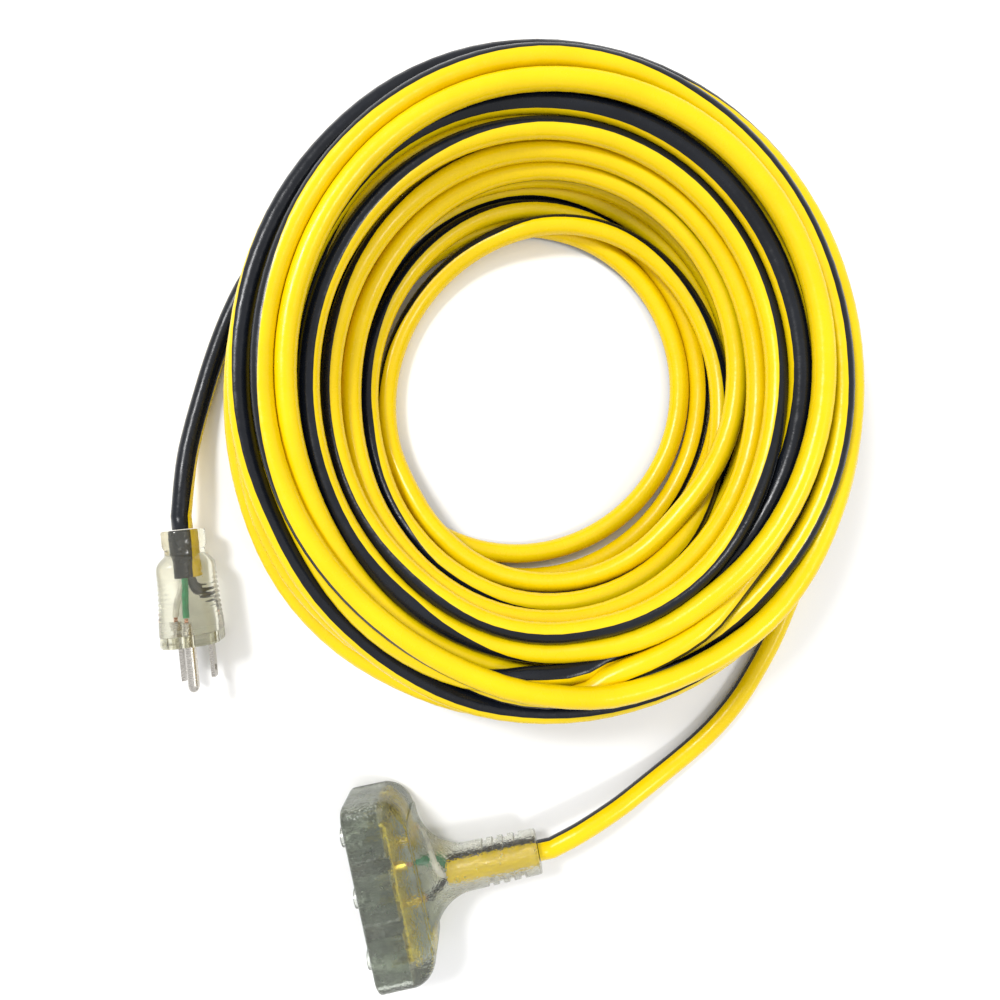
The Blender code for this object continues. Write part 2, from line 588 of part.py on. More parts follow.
# ---- plug --------------------------------------------------------------------------------------
def plug_rings(inset, x_start, x_end):
    """Rings of the plug's skin, local X forward and 0 at the front face."""
    back = -PLUG_LENGTH
    collar = back + PLUG_COLLAR_LENGTH
    waist = collar + PLUG_WAIST_LENGTH
    shoulder = waist + PLUG_SHOULDER_LENGTH
    neck = PLUG_NECK_DIAMETER / 2
    thin = PLUG_WAIST_DIAMETER / 2
    wide_y, wide_z = PLUG_SHOULDER_WIDTH / 2, PLUG_SHOULDER_HEIGHT / 2
    end = neck - PLUG_COLLAR_CHAMFER
    stations = [(back, end, end, neck), (back + 2 * PLUG_COLLAR_CHAMFER, neck, neck, neck),
                (collar - PLUG_COLLAR_SLOPE, neck, neck, neck), (collar, thin, thin, thin),
                (waist, thin, thin, thin)]
    for step in range(1, 5):
        share = step / 4
        ease = math.sin(math.pi / 2 * share)
        y = thin + (wide_y - thin) * ease
        z = thin + (wide_z - thin) * ease
        corner = thin + (PLUG_CORNER_RADIUS - thin) * share
        stations.append((waist + (shoulder - waist) * share, y, z, corner))
    front_y, front_z = PLUG_WIDTH / 2, PLUG_HEIGHT / 2
    stations.append((-PLUG_EDGE_RADIUS, front_y, front_z, PLUG_CORNER_RADIUS))
    trim = PLUG_EDGE_RADIUS / 2
    stations.append((0.0, front_y - trim, front_z - trim, PLUG_CORNER_RADIUS))
    return [rounded_ring(x, y - inset, z - inset, max(corner - inset, 0.001))
            for x, y, z, corner in trimmed(stations, x_start, x_end)]


def add_plug_body(frame):
    """The clear moulded body, open at the front, and the face that closes it."""
    body = add_object("plug_housing", loft("plug_housing", plug_rings(0.0, -PLUG_LENGTH, FACE_BACK - GAP)),
                      CLEAR_WARM, frame)
    cavity = plug_rings(PLUG_WALL, PLUG_BORE_END, FACE_BACK - 2 * GAP)
    cavity.append([(x + OVERRUN, y, z) for x, y, z in cavity[-1]])
    boolean(body, add_tool("plug_cavity_cut", loft("plug_cavity_cut", cavity), frame))
    bore = cylinder_mesh("plug_bore_cut", NECK_BORE, -PLUG_LENGTH - OVERRUN, PLUG_BORE_END + OVERRUN)
    boolean(body, add_tool("plug_bore_cut", bore, frame))
    face = add_object("plug_face", loft("plug_face", plug_rings(0.0, FACE_BACK, 0.0)), CLEAR_WARM, frame)
    for pole, side, width in (("hot", 1, HOT_BLADE), ("neutral", -1, NEUTRAL_BLADE)):
        half_y = BLADE_THICKNESS / 2 + GAP
        half_z = width / 2 + GAP
        y = side * SLOT_SPACING / 2
        low = (FACE_BACK - OVERRUN, y - half_y, -BLADE_DROP - half_z)
        high = (OVERRUN, y + half_y, -BLADE_DROP + half_z)
        boolean(face, add_tool(f"plug_{pole}_cut", box_mesh(f"plug_{pole}_cut", low, high), frame))
    hole = cylinder_mesh("plug_pin_cut", PIN_DIAMETER + 2 * GAP, FACE_BACK - OVERRUN, OVERRUN,
                         0.0, EARTH_RISE - BLADE_DROP)
    boolean(face, add_tool("plug_pin_cut", hole, frame))


def add_blade(frame, pole, side, width):
    """A flat blade with rounded tip corners, a hole near the tip and its barrel behind the face."""
    y = side * SLOT_SPACING / 2
    half = width / 2
    back = PLUG_BARREL_FRONT - BLADE_TAIL
    radius = BLADE_TIP_RADIUS
    outline = [(back, -BLADE_DROP - half), (BLADE_REACH - radius, -BLADE_DROP - half)]
    for centre_z, start in ((-BLADE_DROP - half + radius, -90), (-BLADE_DROP + half - radius, 0)):
        for step in range(1, 4):
            angle = math.radians(start + 30 * step)
            x = BLADE_REACH - radius + radius * math.cos(angle)
            outline.append((x, centre_z + radius * math.sin(angle)))
    outline += [(back, -BLADE_DROP + half)]
    name = f"plug_{pole}_blade"
    blade_mesh = prism(name, outline, "Y", y - BLADE_THICKNESS / 2, y + BLADE_THICKNESS / 2)
    blade = add_object(name, blade_mesh, NICKEL, frame)
    barrel = cylinder_mesh(f"{name}_barrel", BARREL_DIAMETER, PLUG_BARREL_REAR, PLUG_BARREL_FRONT,
                           y, -BLADE_DROP, 16)
    boolean(blade, add_tool(f"{name}_barrel", barrel, frame), "UNION")
    bore = cylinder_mesh(f"{name}_bore", BARREL_BORE, PLUG_BARREL_REAR - OVERRUN, back - PLUG_BORE_FLOOR,
                         y, -BLADE_DROP, 16)
    boolean(blade, add_tool(f"{name}_bore", bore, frame))
    hole_x = BLADE_REACH - BLADE_HOLE_FROM_TIP
    hole_radius = BLADE_HOLE / 2
    ring = []
    for i in range(16):
        angle = 2 * math.pi * i / 16
        x = hole_x + hole_radius * math.cos(angle)
        ring.append((x, -BLADE_DROP + hole_radius * math.sin(angle)))
    hole = prism(f"{name}_hole", ring, "Y", y - BLADE_THICKNESS, y + BLADE_THICKNESS)
    boolean(blade, add_tool(f"{name}_hole", hole, frame))


def add_earth_pin(frame):
    """The round earth pin with its domed tip and its barrel behind the face."""
    z = EARTH_RISE - BLADE_DROP
    radius = PIN_DIAMETER / 2
    back = PLUG_BARREL_FRONT - BLADE_TAIL
    profile = [(back, radius), (PIN_REACH - PIN_TIP, radius)]
    for step in range(1, 5):
        angle = math.pi / 2 * step / 5
        profile.append((PIN_REACH - PIN_TIP + PIN_TIP * math.sin(angle), radius * math.cos(angle)))
    rings = []
    for x, ring_radius in profile:
        ring = []
        for i in range(20):
            angle = 2 * math.pi * i / 20
            ring.append((x, ring_radius * math.cos(angle), z + ring_radius * math.sin(angle)))
        rings.append(ring)
    pin = add_object("plug_earth_pin", loft("plug_earth_pin", rings), NICKEL, frame)
    barrel = cylinder_mesh("plug_pin_barrel", BARREL_DIAMETER, PLUG_BARREL_REAR, PLUG_BARREL_FRONT,
                           0.0, z, 16)
    boolean(pin, add_tool("plug_pin_barrel", barrel, frame), "UNION")
    bore = cylinder_mesh("plug_pin_bore", BARREL_BORE, PLUG_BARREL_REAR - OVERRUN, back - PLUG_BORE_FLOOR,
                         0.0, z, 16)
    boolean(pin, add_tool("plug_pin_bore", bore, frame))


def add_plug_wiring(frame):
    """Jacket end, three conductors and their bare ends inside the plug."""
    jacket = tube_mesh("plug_jacket_end", CORD_DIAMETER, JACKET_BORE, -PLUG_LENGTH, PLUG_JACKET_X)
    add_object("plug_jacket_end", jacket, YELLOW_PVC, frame)
    half = SLOT_SPACING / 2
    pin_z = EARTH_RISE - BLADE_DROP
    ends = {"hot": (half, -BLADE_DROP), "neutral": (-half, -BLADE_DROP), "earth": (0.0, pin_z)}
    angles = {"hot": -30, "neutral": 210, "earth": 90}
    for pole, (y_end, z_end) in ends.items():
        y, z = core_offset(angles[pole])
        route = [(PLUG_JACKET_X - depth, y, z) for depth in PLUG_CORE_TUCK]
        span = PLUG_CORE_END - PLUG_JACKET_X
        for share in (0.25, 0.5, 0.75):
            ease = share * share * (3 - 2 * share)
            route.append((PLUG_JACKET_X + span * share, y + (y_end - y) * ease, z + (z_end - z) * ease))
        route.append((PLUG_CORE_END, y_end, z_end))
        points = smooth_points(route, WIRE_POINT_SPACING)
        look = CORE_COLOURS[pole]
        add_tube(f"plug_{pole}_conductor", points, CORE_DIAMETER, look, WIRE_RESOLUTION, frame)
        bottom = PLUG_BARREL_FRONT - BLADE_TAIL - PLUG_BORE_FLOOR
        strand = [(PLUG_CORE_END + GAP, y_end, z_end), (bottom - GAP, y_end, z_end)]
        add_tube(f"plug_{pole}_strands", strand, STRAND_DIAMETER, COPPER, WIRE_RESOLUTION, frame)


def add_plug():
    frame = bpy.data.objects.new("plug_frame", None)
    bpy.context.collection.objects.link(frame)
    turn = Matrix.Rotation(PLUG_HEADING, 4, "Z") @ Matrix.Rotation(PLUG_ROLL, 4, "X")
    frame.matrix_world = Matrix.Translation(PLUG_POSITION) @ turn
    add_plug_body(frame)
    add_blade(frame, "hot", 1, HOT_BLADE)
    add_blade(frame, "neutral", -1, NEUTRAL_BLADE)
    add_earth_pin(frame)
    add_plug_wiring(frame)
    return frame


# ---- cord --------------------------------------------------------------------------------------
def coil_point(angle, offset, z):
    """A point of the coil: an angle round it, and an outward offset from its innermost turn."""
    share = offset / ((COIL_GROUND_TURNS - 1) * CORD_DIAMETER)
    blend = [a + (b - a) * share for a, b in zip(COIL_INNER_RADII, COIL_OUTER_RADII)]
    centre = [a + (b - a) * share for a, b in zip(COIL_CENTRE_INNER, COIL_CENTRE_OUTER)]
    flat = Vector((blend[0] * math.cos(angle), blend[1] * math.sin(angle), 0.0))
    flat.rotate(Matrix.Rotation(COIL_TURN, 3, "Z"))
    return Vector((centre[0] + flat.x, centre[1] + flat.y, z))


def coil_section():
    """The outline across the heap of turns, as (outward offset, height)."""
    radius = CORD_DIAMETER / 2
    rise = CORD_DIAMETER * math.sqrt(3) / 2
    top = radius + (COIL_ROWS - 1) * rise
    outer = (COIL_GROUND_TURNS - 1) * CORD_DIAMETER
    ridge_in = COIL_RIDGE_START * CORD_DIAMETER
    ridge_out = COIL_RIDGE_END * CORD_DIAMETER
    shoulder = radius + (COIL_ROWS - 4) * rise
    return [(-0.7 * radius, 0.0), (-radius, radius), (-0.8 * radius, 1.6 * radius),
            (ridge_in - radius, top), (ridge_in + 0.4 * radius, top + 0.85 * radius),
            (ridge_out - radius, top + radius), (ridge_out + radius, top + 0.3 * radius),
            (outer, shoulder + 2.2 * radius), (outer + 0.9 * radius, shoulder + 0.9 * radius),
            (outer + radius, shoulder), (outer + radius, radius), (outer + 0.7 * radius, 0.0)]


def add_coil(ports):
    """The wound part of the cord: one turned ring, with a short straight port for each tail."""
    bm = bmesh.new()
    rings = []
    for station in range(COIL_STATIONS):
        angle = 2 * math.pi * station / COIL_STATIONS
        rings.append([bm.verts.new(coil_point(angle, offset, z)) for offset, z in coil_section()])
    count = len(rings[0])
    for near, far in zip(rings, rings[1:] + rings[:1]):
        for i in range(count):
            j = (i + 1) % count
            bm.faces.new((near[i], near[j], far[j], far[i]))
    coil = add_object("cord_coil", mesh_from("cord_coil", bm), YELLOW_PVC)
    for name, (mouth, inward) in ports.items():
        inward = inward.normalized()
        port = cylinder_mesh(name, CORD_DIAMETER, 0.0, COIL_PORT_LENGTH, 0.0, 0.0, 12)
        tool = add_tool(name, port)
        tool.matrix_world = Matrix.Translation(mouth) @ inward.to_track_quat("X", "Z").to_matrix().to_4x4()
        boolean(coil, tool, "UNION")


def tail_route(route, top):
    """A tail's points, lying on the ground wherever their height share is 0."""
    ground = CORD_DIAMETER / 2
    return [Vector((x, y, ground + share * (top - ground))) for x, y, share in route]


def add_cord(plug_frame):
    """The two free lengths and the coil between them, straight where they leave tap and plug."""
    neck = Vector((NECK_END_X + GAP, 0.0, AXIS_Z))
    tap_lead = neck + Vector((CORD_LEAD, 0.0, 0.0))
    tap_points = [neck] + smooth_points([tap_lead] + tail_route(TAP_TAIL, AXIS_Z), TAIL_POINT_SPACING)
    add_tube("cord_tap_tail", tap_points, CORD_DIAMETER, YELLOW_PVC, TUBE_RESOLUTION)
    plug_neck = plug_frame.matrix_world @ Vector((-PLUG_LENGTH - GAP, 0.0, 0.0))
    plug_lead = plug_frame.matrix_world @ Vector((-PLUG_LENGTH - GAP - CORD_LEAD, 0.0, 0.0))
    plug_route = tail_route(PLUG_TAIL, PLUG_POSITION[2])
    plug_points = smooth_points(plug_route + [plug_lead], TAIL_POINT_SPACING)
    plug_points.append(plug_neck)
    add_tube("cord_plug_tail", plug_points, CORD_DIAMETER, YELLOW_PVC, TUBE_RESOLUTION)
    tap_way = (tap_points[-1] - tap_points[-2]).normalized()
    plug_way = (plug_points[0] - plug_points[1]).normalized()
    add_coil({
        "cord_tap_port": (tap_points[-1] + GAP * tap_way, tap_way),
        "cord_plug_port": (plug_points[0] + GAP * plug_way, plug_way),
    })


def main():
    for old in list(bpy.data.objects):
        bpy.data.objects.remove(old, do_unlink=True)
    add_tap()
    frame = add_plug()
    bpy.context.view_layer.update()
    add_cord(frame)


main()
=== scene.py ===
"""Looks of the three-outlet extension cord: striped cord, clear tap and clear plug.

Metres and radians, in the frame of the CAD model: the tap's axis is X, its middle is at Y = 0,
and the floor is Z = 0.  The camera stands over the coil, looking straight down.
"""
import math

import bmesh
import bpy
import numpy as np
from mathutils import Matrix, Vector


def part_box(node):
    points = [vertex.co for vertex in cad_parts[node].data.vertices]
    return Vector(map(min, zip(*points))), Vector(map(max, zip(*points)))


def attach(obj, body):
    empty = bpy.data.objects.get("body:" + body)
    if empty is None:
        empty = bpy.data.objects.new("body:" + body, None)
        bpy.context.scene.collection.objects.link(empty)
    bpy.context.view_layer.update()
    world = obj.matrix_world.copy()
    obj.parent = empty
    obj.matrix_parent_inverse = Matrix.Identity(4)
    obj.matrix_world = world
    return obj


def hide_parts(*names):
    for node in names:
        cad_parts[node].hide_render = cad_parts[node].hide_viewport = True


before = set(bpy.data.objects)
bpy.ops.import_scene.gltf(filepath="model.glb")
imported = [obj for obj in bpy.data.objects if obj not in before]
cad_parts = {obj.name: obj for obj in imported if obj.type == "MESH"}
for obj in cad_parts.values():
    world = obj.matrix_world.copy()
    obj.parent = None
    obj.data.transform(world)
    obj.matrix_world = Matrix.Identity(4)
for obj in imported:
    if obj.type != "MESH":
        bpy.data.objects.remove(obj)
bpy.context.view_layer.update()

# ---- cord, as in the CAD ---------------------------------------------------------------------
CORD = 0.0088                          # diameter
RADIUS = CORD / 2
CORD_SIDES, JACKET_SIDES = 16, 32      # flat sides of the round cord and of its stripped ends
GAP = 0.0003                           # left between a housing and what enters it
TAP_EXIT = (0.04155, 0.0, 0.015)       # the cord leaves the tap here, along X
CORD_LEAD = 0.006                      # straight length where the cord leaves the tap and the plug
# Routes of the two free lengths, from the tap to the coil and from the coil to the plug.
TAP_TAIL = (
    (0.0620, 0.0040, 0.0146), (0.0800, 0.0095, 0.0116), (0.0925, 0.0140, 0.0085),
    (0.1045, 0.0188, 0.0060), (0.1160, 0.0240, 0.0047), (0.1270, 0.0300, 0.0044),
    (0.1380, 0.0375, 0.0044), (0.1480, 0.0460, 0.0044), (0.1575, 0.0560, 0.0044),
    (0.1665, 0.0665, 0.0044), (0.1745, 0.0775, 0.0044), (0.1822, 0.0890, 0.0044),
    (0.1888, 0.1008, 0.0044), (0.1937, 0.1113, 0.0044),
)
PLUG_TAIL = (
    (-0.0172, 0.2958, 0.0044), (-0.0265, 0.2897, 0.0044), (-0.0365, 0.2805, 0.0044),
    (-0.0450, 0.2700, 0.0044), (-0.0530, 0.2585, 0.0044), (-0.0605, 0.2460, 0.0046),
    (-0.0672, 0.2330, 0.0056), (-0.0728, 0.2205, 0.0076), (-0.0772, 0.2085, 0.0102),
    (-0.0805, 0.1965, 0.0124),
)
PLUG_POSITION = (-0.0909, 0.1240, 0.0140)  # middle of the plug's front face
PLUG_HEADING = math.radians(-96.4)
PLUG_ROLL = math.radians(-10.0)
PLUG_LENGTH = 0.0512

# ---- tap body --------------------------------------------------------------------------------
AXIS_Z = TAP_EXIT[2]
TAP_LENGTH, TAP_HEIGHT = 0.0830, 0.0300
TAP_BAR_DEPTH, TAP_REACH = 0.0275, 0.0805  # the bar alone, and the whole tap with its neck
FACE_X = TAP_EXIT[0] - GAP - TAP_REACH
TAP_EDGE, TAP_CORNER = 0.0025, 0.0055  # rounding round the outlet face and along the bar
TAP_BACK_RADIUS, TAP_FILLET = 0.0120, 0.0200
TAP_BACK_DRAFT = 0.00144               # how much flatter the bar gets over its rounded back
TAP_LAND = 0.0005                      # flat between the rounded back and the fillet to the neck
TAP_HEIGHT_FALL = 0.8                  # power by which the bar's height falls to the neck's
TAP_WINDOW_HEIGHT, WINDOW_CORNER = 0.0232, 0.0023
EDGE_STEPS, BACK_STEPS, FILLET_STEPS, NECK_STEPS = 6, 12, 13, 96
NECK_DIAMETER, NECK_END_DIAMETER = 0.0200, 0.0188
NECK_COLLAR, NECK_PITCH, NECK_CHAMFER = 0.0050, 0.0048, 0.0006
NECK_WINDOWS = 4                       # pressed into each side of the neck
NECK_WINDOW_SHARE, NECK_WINDOW_DEPTH = 0.42, 0.0016
NECK_WINDOW_HALF_ANGLE = math.radians(60)
NECK_WINDOW_STEEPNESS = 0.4            # below 1 the windows are flatter, with steeper ends
TAP_TINT = (0.66, 0.70, 0.62)
NECK_TINT = (0.90, 0.91, 0.84, 1.0)
THIN_FROM_X, THIN_TO_X = -0.012, 0.004  # the clear plastic is thinner, so paler, past here
OUTLET_TINT = (0.80, 0.83, 0.77)

# ---- plug body -------------------------------------------------------------------------------
PLUG_NECK, PLUG_WAIST = 0.0186, 0.0170  # diameters of the collar and of the waist in front of it
PLUG_COLLAR, PLUG_WAIST_LENGTH, PLUG_SHOULDER = 0.0085, 0.0025, 0.0055  # lengths along the plug
PLUG_COLLAR_EDGE = 0.0006              # rounding of the collar's back end
PLUG_COLLAR_FALL = 0.0018              # length over which the collar falls to the waist
PLUG_SHOULDER_WIDTH, PLUG_SHOULDER_HEIGHT = 0.0228, 0.0236
PLUG_WIDTH, PLUG_HEIGHT = 0.0248, 0.0264
PLUG_CORNER, PLUG_FACE = 0.0075, 0.0050
PLUG_JACKET_X = 0.0215 - PLUG_LENGTH   # front end of the jacket inside the plug
SHOULDER_STEPS, GRIP_STEPS = 9, 90
RIB_PITCH, RIB_DEPTH = 0.0022, 0.0007
RIB_MIDDLE, RIB_SPAN = 0.0130, 0.0230  # from the shoulder to the middle rib, and over all ribs
FLANK_FROM, FLANK_OVER = 0.55, 0.25    # shares of the half width where the ribs rise
PLUG_TINT = (0.88, 0.87, 0.74)
FACE_TINT = (0.86, 0.85, 0.70)
CORE_COLOURS = {
    "hot": (0.012, 0.013, 0.016), "neutral": (0.80, 0.78, 0.72), "earth": (0.02, 0.26, 0.10),
}
SHARP_ANGLE = math.radians(40)

# ---- stage -----------------------------------------------------------------------------------
CAMERA = (0.0577, 0.1578, 0.330)
CAMERA_TURN = math.radians(-12.2)
LENS, SENSOR, CLIP_START = 25.2, 36.0, 0.01
FLOOR_HALF, FLOOR_COLOUR, FLOOR_ROUGHNESS = 3.0, (0.9, 0.9, 0.9, 1.0), 0.6
SKY_STRENGTH = 0.85
LIGHT_TARGET = (0.06, 0.16, 0.0)
LIGHTS = (                             # name, place, power and size
    ("key", (-0.5, 0.9, 1.3), 16.0, 0.35),
    ("fill", (0.9, -0.3, 1.4), 7.0, 0.3),
)

# ---- coil ------------------------------------------------------------------------------------
COIL_CENTRE = (0.0847, 0.2052)
COIL_TURN = CAMERA_TURN
COIL_RADII = (0.0690, 0.0750)          # innermost turn
COIL_SLOPE = 0.01524                   # rise of the heap's inner side for each cord outward
COIL_TOP = 0.0577                      # height of the topmost turns
ROW_RISE = CORD * math.sqrt(3) / 2     # from one row of close-packed turns to the next
STATIONS = 96                          # per turn
STEP_START = math.radians(196)         # where each hidden turn moves over to its next place
STEP_END = math.radians(262)
# Hidden turns lie some cords further out near two places round the coil, within so many radians.
RIGHT, RIGHT_SHIFT, RIGHT_SPREAD = 0.0, 0.3, 1.1
FRONT, FRONT_SHIFT, FRONT_SPREAD = math.radians(275), 0.9, 1.4
WANDER_TWICE, WANDER_THRICE = 0.10, 0.07  # cords a hidden turn wanders, two and three times round
WANDER_PHASE = 2.39996                 # from one turn to the next
JOIN_STATIONS, LEAVE_STATIONS = 16, 14  # over which the coil meets the tap's and the plug's tail
SETTLE_STEPS, FINAL_STEPS = 260, 40
SETTLE_SMOOTHING, FINAL_SMOOTHING = 0.25, 0.1
PART_SHARE = 0.7                       # share of an overlap taken away in one step
HIDDEN_PULL, SHOWN_PULL = 0.05, 0.35   # how strongly a turn keeps its chosen place
SHOWN_WEIGHT = 6.0                     # against a hidden turn that it pushes on

# The turns that show, in winding order, each from 30 degrees before the coil's right-hand side:
# (degrees round the coil, cords outward from the innermost turn as seen from above, height in mm).
# The first row is the end of the last hidden turn, and the last row runs off to the plug's tail.
SHOWN = (
    ((225, 1.10, 5), (240, 0.83, 4.4), (255, 0.25, 4.4), (270, -0.13, 4.4), (300, -0.33, 4.4)),
    ((-30, -0.18, 4.4), (0, -0.16, 4.4), (30, -0.23, 4.4), (75, -0.30, 4.4), (90, -0.20, 4.4),
     (105, 0.10, 4.4), (120, 0.30, 4.4), (135, 0.55, 4.4), (150, 0.80, 4.4), (180, 1.00, 4.4),
     (210, 1.50, 4.4), (225, 1.60, 4.4), (240, 1.50, 4.4), (255, 1.35, 4.4), (270, 1.20, 4.4),
     (285, 1.09, 4.4), (300, 0.90, 4.4), (315, 0.78, 4.4)),
    ((-30, 0.68, 4.4), (0, 0.50, 4.4), (30, 0.37, 5), (60, 0.40, 6), (75, 0.50, 8), (90, 0.60, 10),
     (120, 0.64, 12), (150, 0.61, 12), (180, 0.54, 12.5), (195, 0.74, 15), (210, 1.10, 20),
     (225, 1.42, 25), (240, 1.97, 32), (255, 2.28, 37), (270, 2.57, 41), (285, 2.65, 42),
     (300, 2.45, 38), (315, 2.20, 31)),
    ((-30, 1.70, 22), (0, 1.20, 18), (15, 1.12, 16), (30, 0.93, 14), (45, 0.74, 13), (60, 0.50, 12),
     (75, 0.28, 12), (90, -0.08, 13), (105, -0.49, 10), (120, -0.84, 5), (135, -0.92, 4.4),
     (150, -0.54, 4.4), (165, -0.32, 4.4), (180, -0.08, 4.4), (195, 0.05, 5), (210, 0.42, 9),
     (225, 0.83, 14), (240, 1.21, 19), (255, 1.36, 24), (270, 1.64, 28), (285, 1.73, 30),
     (315, 1.75, 30)),
    ((-30, 1.75, 30), (0, 1.83, 31), (15, 1.92, 32), (30, 2.00, 34), (60, 2.00, 34), (75, 1.93, 33),
     (90, 1.86, 32), (105, 1.70, 30), (120, 1.52, 28), (135, 1.30, 25), (150, 1.20, 23),
     (180, 1.20, 23), (195, 1.38, 25), (210, 1.75, 30), (225, 2.03, 34), (240, 2.65, 42),
     (255, 2.94, 46), (270, 3.20, 49), (285, 3.22, 50), (300, 3.06, 48), (315, 2.80, 46)),
    ((-30, 2.55, 42), (-15, 2.43, 39), (0, 2.23, 36), (30, 2.20, 37), (90, 2.15, 37), (120, 2.10, 36),
     (150, 2.00, 34), (180, 1.95, 34), (195, 2.06, 35), (210, 2.40, 40), (225, 2.72, 44),
     (240, 3.27, 50), (255, 3.79, 55), (270, 4.10, 57), (285, 4.08, 57), (300, 3.89, 57),
     (315, 3.54, 56)),
    ((-30, 3.22, 54), (-15, 3.00, 50), (0, 2.85, 47), (60, 2.80, 47), (120, 2.72, 46), (180, 2.72, 46),
     (195, 2.80, 47), (210, 2.94, 48), (225, 3.12, 49), (240, 3.55, 50), (255, 4.10, 49),
     (270, 4.34, 51), (285, 4.50, 53), (300, 4.58, 56), (315, 4.65, 57)),
    ((-30, 4.64, 58), (0, 4.58, 58), (30, 4.60, 58), (60, 4.38, 58), (90, 4.23, 58), (105, 4.10, 58),
     (120, 3.80, 57), (135, 3.72, 56), (150, 3.57, 55), (180, 3.54, 56), (195, 3.62, 57),
     (210, 3.72, 57), (225, 3.82, 56), (240, 4.40, 50), (255, 5.00, 48), (270, 5.40, 48),
     (285, 5.72, 49.5), (300, 5.98, 49), (315, 5.79, 52)),
    ((-30, 5.50, 53), (-15, 5.42, 54), (0, 5.24, 53), (15, 5.08, 52), (30, 4.95, 51), (45, 4.90, 50),
     (60, 5.12, 53), (75, 5.28, 56), (90, 5.29, 57), (105, 5.12, 58), (120, 4.87, 58),
     (135, 4.54, 58), (150, 4.28, 58), (165, 4.17, 58), (180, 4.31, 58), (225, 4.48, 58),
     (240, 4.61, 59), (255, 5.04, 59), (270, 5.77, 59), (285, 6.60, 58), (300, 6.94, 56),
     (315, 6.72, 51)),
    ((-30, 6.24, 47), (-15, 5.90, 46), (0, 5.65, 44), (15, 5.40, 42), (30, 5.20, 41), (60, 5.20, 40),
     (90, 5.20, 42), (105, 5.15, 44), (120, 5.00, 47), (135, 5.08, 50), (150, 5.18, 52),
     (180, 5.32, 55), (210, 5.49, 55), (225, 5.53, 54), (240, 5.82, 51), (255, 6.33, 46),
     (270, 6.82, 42), (285, 7.07, 38), (300, 6.95, 34), (315, 6.60, 32)),
    ((-30, 6.20, 30), (0, 5.50, 26), (30, 5.10, 22), (60, 5.00, 18), (90, 5.10, 12), (120, 5.10, 7)),
)

# ---- stripe, in degrees ----------------------------------------------------------------------
STRIPE_WIDTH = 145.0                   # of the jacket
STRIPE_SWAY = (-90.0, 110.0)           # middle and reach of its facing on the hidden turns
STRIPE_PHASE = (2.3, 1.3)              # radians of that sway per turn and per quarter of a turn
# Which way the stripe faces on the turns that show: (round the coil, facing), where a facing is
# 0 outward, 90 up, 180 inward and -90 down.
SHOWN_STRIPES = (
    ((225, -90), (300, -90)),
    ((-30, -90), (90, -90), (180, -60), (270, -30), (300, -20)),
    ((-30, -9), (30, -15), (90, 0), (120, 15), (150, 20), (165, 36), (195, 46), (210, 33), (225, 33),
     (240, 9), (255, 6), (270, -10), (300, -20)),
    ((-30, 0), (15, 19), (30, 15), (45, 8), (60, -6), (90, -10), (105, 8), (135, 0), (150, 0),
     (165, -15), (180, -23), (195, -35), (210, -60), (225, -90), (315, -90)),
    ((-30, -90), (315, -90)),
    ((-30, -90), (60, -80), (90, -40), (105, -31), (120, -11), (135, 0), (150, 8), (165, 23),
     (225, 27), (240, 30), (255, 17), (300, 22), (315, 25)),
    ((-30, 38), (0, 22), (60, 14), (90, 15), (105, 25), (120, 39), (150, 51), (180, 54), (210, 47),
     (225, 42), (240, 55), (255, 20), (270, -40), (285, -90), (315, -90)),
    ((-30, -90), (225, -90), (255, -60), (285, 0), (300, 5), (315, 12)),
    ((-30, 10), (0, 15), (30, 10), (60, 15), (75, 5), (90, 1), (105, 10), (120, 5), (135, -5),
     (150, -2), (165, 15), (180, 14), (195, 0), (210, -19), (240, -25), (255, -45), (270, -60),
     (285, -80), (300, -95), (315, -95)),
    ((-30, -95), (0, -95), (105, 60), (135, 86), (150, 106), (165, 130), (180, 150), (210, 164),
     (225, 150), (270, 152), (285, 142)),
    ((-30, 120), (120, 100)),
)
# Facings at the quarters of the hidden turns that show through between the others.
HIDDEN_STRIPES = {
    26: (70, 75, 90, 90), 27: (-90, -90, 90, -90), 29: (-90, -90, 0, 90), 30: (18, 18, 40, 90),
}
TAP_STRIPE = -128.0
PLUG_STRIPES = (100.0, 95.0, 75.0)     # along the plug's tail, the last one at the plug
STRIPE_KNOTS = (0, 0.35, 0.8, 1)       # shares of a tail's length at which its facings are given


def coil_slots():
    """Each hidden turn's place in the heap, in winding order: (cords outward from the inside, row)."""
    slots = [(7.0, 0)]
    for column, first, last in ((6, 0, 2), (5, 3, 0), (4, 0, 4), (3, 5, 0), (2, 0, 6), (1, 6, 3)):
        rows = range(first, last + 1) if last >= first else range(first, last - 1, -1)
        slots += [(column + row / 2, row) for row in rows]
    return slots + [(2.0, 2), (1.5, 1)]


def smoothstep(value):
    value = np.clip(value, 0.0, 1.0)
    return value * value * (3 - 2 * value)


def bump(angle, middle, half_width):
    """1 at one angle, falling smoothly to 0 half_width away."""
    away = (angle - middle + math.pi) % (2 * math.pi) - math.pi
    return 0.5 + 0.5 * np.cos(np.clip(away / half_width, -1, 1) * math.pi)


def section(angle):
    """Ground points of the innermost turn and the directions straight out from it."""
    rx, ry = COIL_RADII
    u, v = rx * np.cos(angle), ry * np.sin(angle)
    nu, nv = np.cos(angle) / rx, np.sin(angle) / ry
    size = np.hypot(nu, nv)
    c, s = math.cos(COIL_TURN), math.sin(COIL_TURN)
    base = np.stack([COIL_CENTRE[0] + u * c - v * s, COIL_CENTRE[1] + u * s + v * c], axis=-1)
    out = np.stack([(nu * c - nv * s) / size, (nu * s + nv * c) / size], axis=-1)
    return base, out


